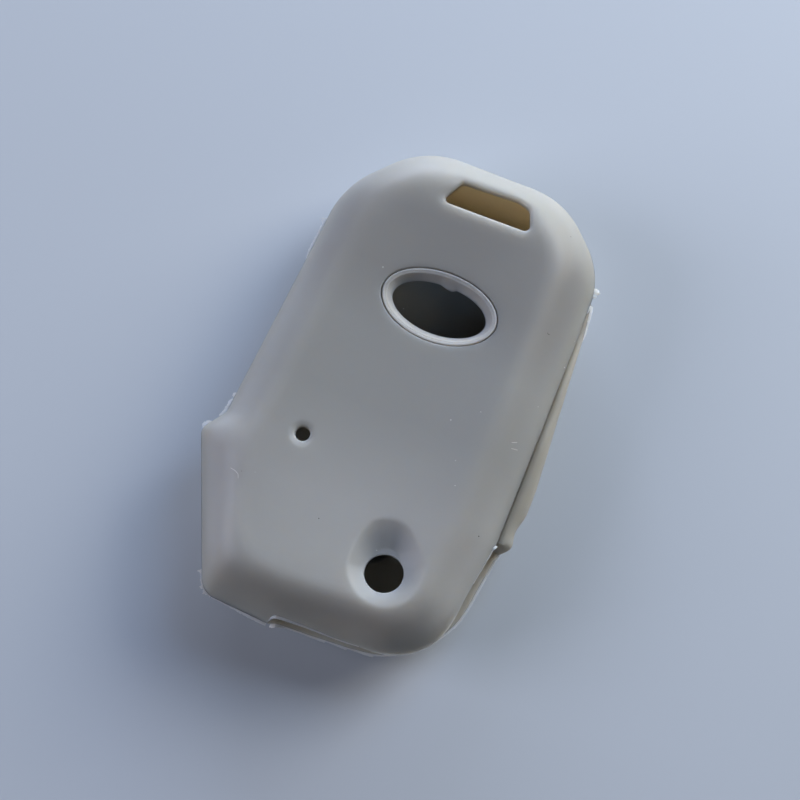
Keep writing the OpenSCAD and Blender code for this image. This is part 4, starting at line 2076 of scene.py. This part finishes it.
@dataclass
class KeyCover:
    """The whole cover: both halves of the skin, the ring, the pads and the flash.

    Attributes:
        outline: Outline at the moulding line.
        ring_window: The key-ring window.
        badge_window: The badge window.
        outer: Rounding of the badge side's outer surface.
        inner: Rounding of its inner surface.
        under: Rounding of the button side's outer surface.
        under_inner: Rounding of its inner surface.
        field_at: Middle of the sunk field.
        field_half: Half its width and length.
        field_corner: Radius of its corners.
        pad_pitch: Distance between the pads.
        fold_low: Lower end of the fold line; not used.
        fold_top: Upper end of the fold line; not used.
        fold_band: Width over which the skin would bend; not used.
        fins: Flash on the part that stays on the key.
        flap_fins: Flash on the part that bends open.
        lip_fins: Flash on the button side.
        pale_lint: Pale fibres and crumbs on the badge side.
        dark_lint: Dark ones.
    """

    outline: RoundedLoop = RoundedLoop(
        (
            (22.0, 30.3, 13.0), (12.6, 39.65, 13.0), (-11.6, 39.75, 14.0), (-21.4, 28.6, 14.0),
            (-23.4, -12.6, 2.2), (-25.95, -16.4, 1.8), (-15.4, -39.2, 3.5), (-4.5, -39.72, 3.0),
            (20.8, -37.28, 13.0), (23.3, -17.0, 5.0), (23.2, 0.0, 10.0),
        ),
        spacing=0.42,
    )
    ring_window: RoundedLoop = RoundedLoop(
        (
            (9.7, 29.15, 0.9), (8.1, 33.0, 1.2), (6.15, 33.7, 1.25), (-2.9, 33.15, 1.0),
            (-4.75, 28.98, 0.7),
        ),
        spacing=0.4,
        arc_points=8,
        least_radius=0.6,
    )
    badge_window: Oval = Oval((1.2, 13.1), 9.25, 5.65, 128)
    outer: Rounding = Rounding(start=0.0, reach=8.5, height=9.2, crown=0.5, up=1)
    inner: Rounding = Rounding(start=1.4, reach=7.8, height=7.8, crown=0.5, up=1)
    under: Rounding = Rounding(start=0.0, reach=6.5, height=8.5, crown=0.0, up=-1)
    under_inner: Rounding = Rounding(start=1.4, reach=5.8, height=6.6, crown=0.0, up=-1)
    field_at: tuple[float, float] = (0.0, -7.2)
    field_half: tuple[float, float] = (10.5, 21.0)
    field_corner: float = 4.2
    pad_pitch: float = 12.5
    fold_low: tuple[float, float, float] = (-4.3, -40.0, 18.2)
    fold_top: tuple[float, float, float] = (22.0, 26.0, 18.2)
    fold_band: float = 7.0
    fins: tuple[FlashFin, ...] = (
        FlashFin("flash_shoulder", thick=0.14, heights=(
            (-75.6, 0.0), (-75.1, 0.8), (-74.7, 0.7), (-74.4, 0.35), (-69.4, 0.35), (-67.5, 0.0),
        )),
        FlashFin("flash_notch_nib", thick=0.2, seed=5, heights=(
            (-43.6, 0.05), (-43.3, 0.5), (-42.9, 0.4), (-42.7, 0.0),
        )),
        FlashFin("flash_notch", thick=0.2, seed=9, ragged=0.15, heights=(
            (-42.5, 0.2), (-42.0, 0.45), (-40.5, 0.5), (-39.0, 0.25),
        )),
        FlashFin("flash_corner", thick=0.2, seed=11, ragged=0.15, heights=(
            (-37.6, 0.05), (-37.2, 0.5), (-36.3, 0.55), (-35.8, 0.0),
        )),
        FlashFin("flash_lower_left", thick=0.16, seed=3, ragged=0.4, heights=(
            (-14.2, 0.0), (-13.9, 0.65), (-13.5, 0.2), (-11.9, 0.18), (-11.5, 0.65), (-11.2, 0.15),
            (-10.6, 0.65), (-10.2, 0.18), (-9.6, 0.2),
        )),
        FlashFin("flash_slit_tag", thick=0.4, seed=23, ragged=0.25, heights=(
            (-135.6, 0.1), (-135.3, 0.85), (-135.1, 0.5), (-134.75, 1.05), (-134.45, 0.7),
            (-134.25, 0.95), (-133.95, 0.1),
        )),
        FlashFin("flash_bottom", thick=0.14, seed=8, heights=(
            (-9.5, 0.15), (-7.0, 0.2), (-4.5, 0.35), (-2.0, 0.5), (-0.6, 0.65), (-0.35, 0.55),
            (-0.3, 0.0),
        )),
    )
    flap_fins: tuple[FlashFin, ...] = (
        FlashFin("flash_slot_hook", thick=0.2, seed=13, ragged=0.08, heights=(
            (0.0, 0.2), (0.15, 0.4), (0.9, 0.42), (2.5, 0.32), (6.0, 0.2), (12.0, 0.14),
            (14.0, 0.04),
        )),
        FlashFin("flash_slit_top", thick=0.3, seed=25, ragged=0.08, heights=(
            (82.8, 0.05), (83.6, 0.3), (85.1, 0.36), (85.35, 0.2),
        )),
        FlashFin("flash_flap_nib", thick=0.24, seed=15, ragged=0.1, heights=(
            (36.0, 0.04), (42.0, 0.14), (42.3, 0.34), (42.8, 0.38), (42.95, 0.1),
        )),
    )
    lip_fins: tuple[FlashFin, ...] = (
        FlashFin("flash_slot_lip", thick=0.14, seed=17, ragged=0.1, heights=(
            (0.1, 0.5), (0.4, 0.65), (0.9, 0.5), (2.0, 0.25), (5.0, 0.16), (8.5, 0.34), (8.7, 0.1),
            (12.0, 0.34), (12.2, 0.1), (15.5, 0.4), (16.0, 0.45), (16.3, 0.2), (20.0, 0.26),
            (20.5, 0.2), (27.0, 0.26), (34.0, 0.3), (42.2, 0.24), (42.6, 0.05),
        )),
        FlashFin("flash_strip_end", thick=0.26, seed=19, ragged=0.1, heights=(
            (42.7, 0.3), (42.9, 0.9), (43.3, 0.95), (43.7, 0.3),
        )),
        FlashFin("flash_slit_line", thick=0.4, seed=21, ragged=0.08, heights=(
            (78.3, 0.1), (79.4, 0.28), (82.0, 0.36), (84.9, 0.34), (85.2, 0.1),
        )),
    )
    # Fibres and crumbs on the badge face, each as a few plane points
    pale_lint: tuple[Fibre, ...] = (
        Fibre(((-17.6, -21.6), (-16.7, -21.8), (-16.1, -22.1), (-15.8, -22.7)), 0.07),
        Fibre(((18.9, -2.2), (19.7, -1.7)), 0.08),
        Fibre(((19.2, -3.0), (20.2, -2.6)), 0.08),
        Fibre(((21.95, 13.2), (22.1, 13.35)), 0.34),
        Fibre(((13.0, 0.0), (13.15, 0.05)), 0.16),
        Fibre(((12.3, -8.2), (12.45, -8.1)), 0.14),
        Fibre(((13.6, -11.7), (13.8, -11.65)), 0.16),
        Fibre(((6.6, -24.5), (6.8, -24.4)), 0.14),
    )
    dark_lint: tuple[Fibre, ...] = (
        Fibre(((17.7, 15.5), (18.0, 15.4), (18.2, 15.45)), 0.07),
        Fibre(((19.5, -16.9), (19.7, -16.85)), 0.2),
        Fibre(((-2.75, -23.6), (-2.6, -23.55)), 0.18),
    )

    def pads(self) -> list[PressPad]:
        """Returns the press pads, from the key-ring end down."""
        x, y = self.field_at
        return [PressPad(sign, (x, y + (1 - i) * self.pad_pitch)) for i, sign in enumerate(Pictogram)]

    def _bend(self, piece: Object) -> None:
        """Bakes a piece's transform into its mesh.

        Args:
            piece: The piece.
        """
        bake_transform(piece)

    def build_badge_side(self, finish: Material, flash: Material, rim: Material) -> list[Object]:
        """Builds the badge side, its flash and its ring.

        Args:
            finish: The skin's material.
            flash: The flash's material.
            rim: The ring's material.

        Returns:
            The objects.
        """
        openings = (
            Opening("key_ring", self.ring_window, 0.45, 0.3, 1.7, 0.1),
            Opening("badge", self.badge_window, 0.08, 0.05, 1.2, 0.0),
            Opening("indicator", Oval((-9.95, -12.8), 1.1, 1.1, 48), 0.25, 0.3, 1.2, 0.0),
            Opening("release", Oval((9.0, -27.2), 2.85, 2.85, 72), 0.15, 0.0, 0.4, 0.0),
        )
        half = BadgeSkin(self.outline, self.outer, self.inner, openings)
        piece = half.build("badge_side_skin", finish)
        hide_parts("back_shell", "back_flap")
        self._bend(piece)
        ring = BadgeRim(self.badge_window).build(half, rim)
        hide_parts("emblem_rim")
        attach(ring, "cover")
        pieces = [piece, ring]
        for fin in self.fins + self.flap_fins:
            made = fin.build(half, flash)
            if fin in self.flap_fins:
                self._bend(made)
            else:
                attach(made, "cover")
            pieces.append(made)
        return pieces

    def build_lint(self, skin: Object, pale: Material, dark: Material) -> list[Object]:
        """Lays the lint on the badge side.

        Args:
            skin: The badge side's skin.
            pale: The material of pale fibres.
            dark: The material of dark fibres.

        Returns:
            The objects.
        """
        points = [tuple(v.co) for v in skin.data.vertices]
        tree = BVHTree.FromPolygons(points, [tuple(face.vertices) for face in skin.data.polygons])
        pieces = []
        kinds = (("lint_pale", self.pale_lint, pale), ("lint_dark", self.dark_lint, dark))
        for name, fibres, finish in kinds:
            parts = MeshParts()
            for fibre in fibres:
                fibre.add_to(parts, tree)
            made = parts.to_object(name, finish, 40.0)
            self._bend(made)
            pieces.append(made)
        return pieces

    def build_button_side(self, finish: Material, flash: Material) -> list[Object]:
        """Builds the button side with its field, its pad openings, the strip and its flash.

        Args:
            finish: The skin's material.
            flash: The flash's material.

        Returns:
            The objects.
        """
        openings = [Opening("key_ring_under", self.ring_window, 0.35, 0.2, 1.0, 0.1)]
        for pad in self.pads():
            openings.append(Opening(f"{pad.sign.value}_opening", pad.opening(), 0.3, 0.0, 0.5, 0.0))
        sunk = rounded_box(self.field_at, *self.field_half, self.field_corner, arc_points=14)
        holes = tuple(openings)
        half = ButtonSkin(self.outline, self.under, self.under_inner, holes, sunk=sunk, badge=self.outer)
        piece = half.build("button_side_skin", finish)
        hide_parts("front_shell")
        pieces = [piece, *(fin.build(half, flash) for fin in self.lip_fins)]
        for made in pieces:
            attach(made, "cover")
        return pieces

    def build_pads(self, skin: Material, pad_finish: Material, ink: Material) -> list[Object]:
        """Builds the pads, their webs and their signs.

        Args:
            skin: The webs' material.
            pad_finish: The pads' material.
            ink: The signs' material.

        Returns:
            The objects.
        """
        pieces = []
        for pad in self.pads():
            name = pad.sign.value
            body = f"{name}_button"
            face = pad.build_pad(pad_finish)
            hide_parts(f"{name}_pad")
            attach(face, body)
            web = pad.build_web(skin)
            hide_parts(f"{name}_web")
            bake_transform(web)
            sign = pad.build_sign(ink)
            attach(sign, body)
            pieces += [face, web, sign]
        return pieces


def main() -> None:
    """Loads the frame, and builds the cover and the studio."""
    logging.basicConfig(level=logging.INFO, format="%(name)s %(message)s")
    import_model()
    # Painted shade and light on the badge face along Y: darkest round the badge, lightest towards the
    # release button
    painted_face_shading = (
        (-37.5, "a39f95"), (-32.0, "b4b2ad"), (-20.0, "b3b1ad"), (-5.0, "a3a29e"), (6.0, "a4a39f"),
        (16.0, "989692"), (26.0, "989692"), (36.0, "b0aea7"),
    )
    # Blasted mould: a soft matte face that light goes through, warm where it is thin
    stone = MouldedSilicone("moulded_silicone_stone", "a5a298", "a09d93", 0.42, painted_face_shading=painted_face_shading)
    skin = stone.make()
    # Smoother ring of the mould: paler, and less light goes through it
    rim = MouldedSilicone("moulded_silicone_rim", "b9b8b5", "b4b3b0", 0.42, 2.0).make()
    # Pads of the same rubber, painted a little darker as painted shade for their thickness, and more
    # even
    pads = MouldedSilicone("moulded_silicone_pads", "a2a097", "9e9c93").make()
    # Flash that the mould left: paper-thin, painted nearly white as a painted highlight of edges that
    # catch the light
    flash = MouldedSilicone("silicone_flash_painted_highlight", "f4f2ec", "eae8e2", 0.4, 1.0).make()
    # Pad-printed ink: a flat pale sign
    ink = PrintedInk("pad_printed_ink", "e2e0db").make()
    # Lint: fine pale and dark marks with no gloss
    pale_lint = Lint("cotton_lint", "e9e7e2").make()
    dark_lint = Lint("dark_lint", "3f3a35").make()
    cover = KeyCover()
    pieces = cover.build_badge_side(skin, flash, rim)
    pieces += cover.build_lint(pieces[0], pale_lint, dark_lint)
    pieces += cover.build_button_side(skin, flash)
    pieces += cover.build_pads(skin, pads, ink)
    for piece in pieces:
        LOG.info("%s: %d faces", piece.name, len(piece.data.polygons))
    Studio().build()


if __name__ == "__main__":
    main()
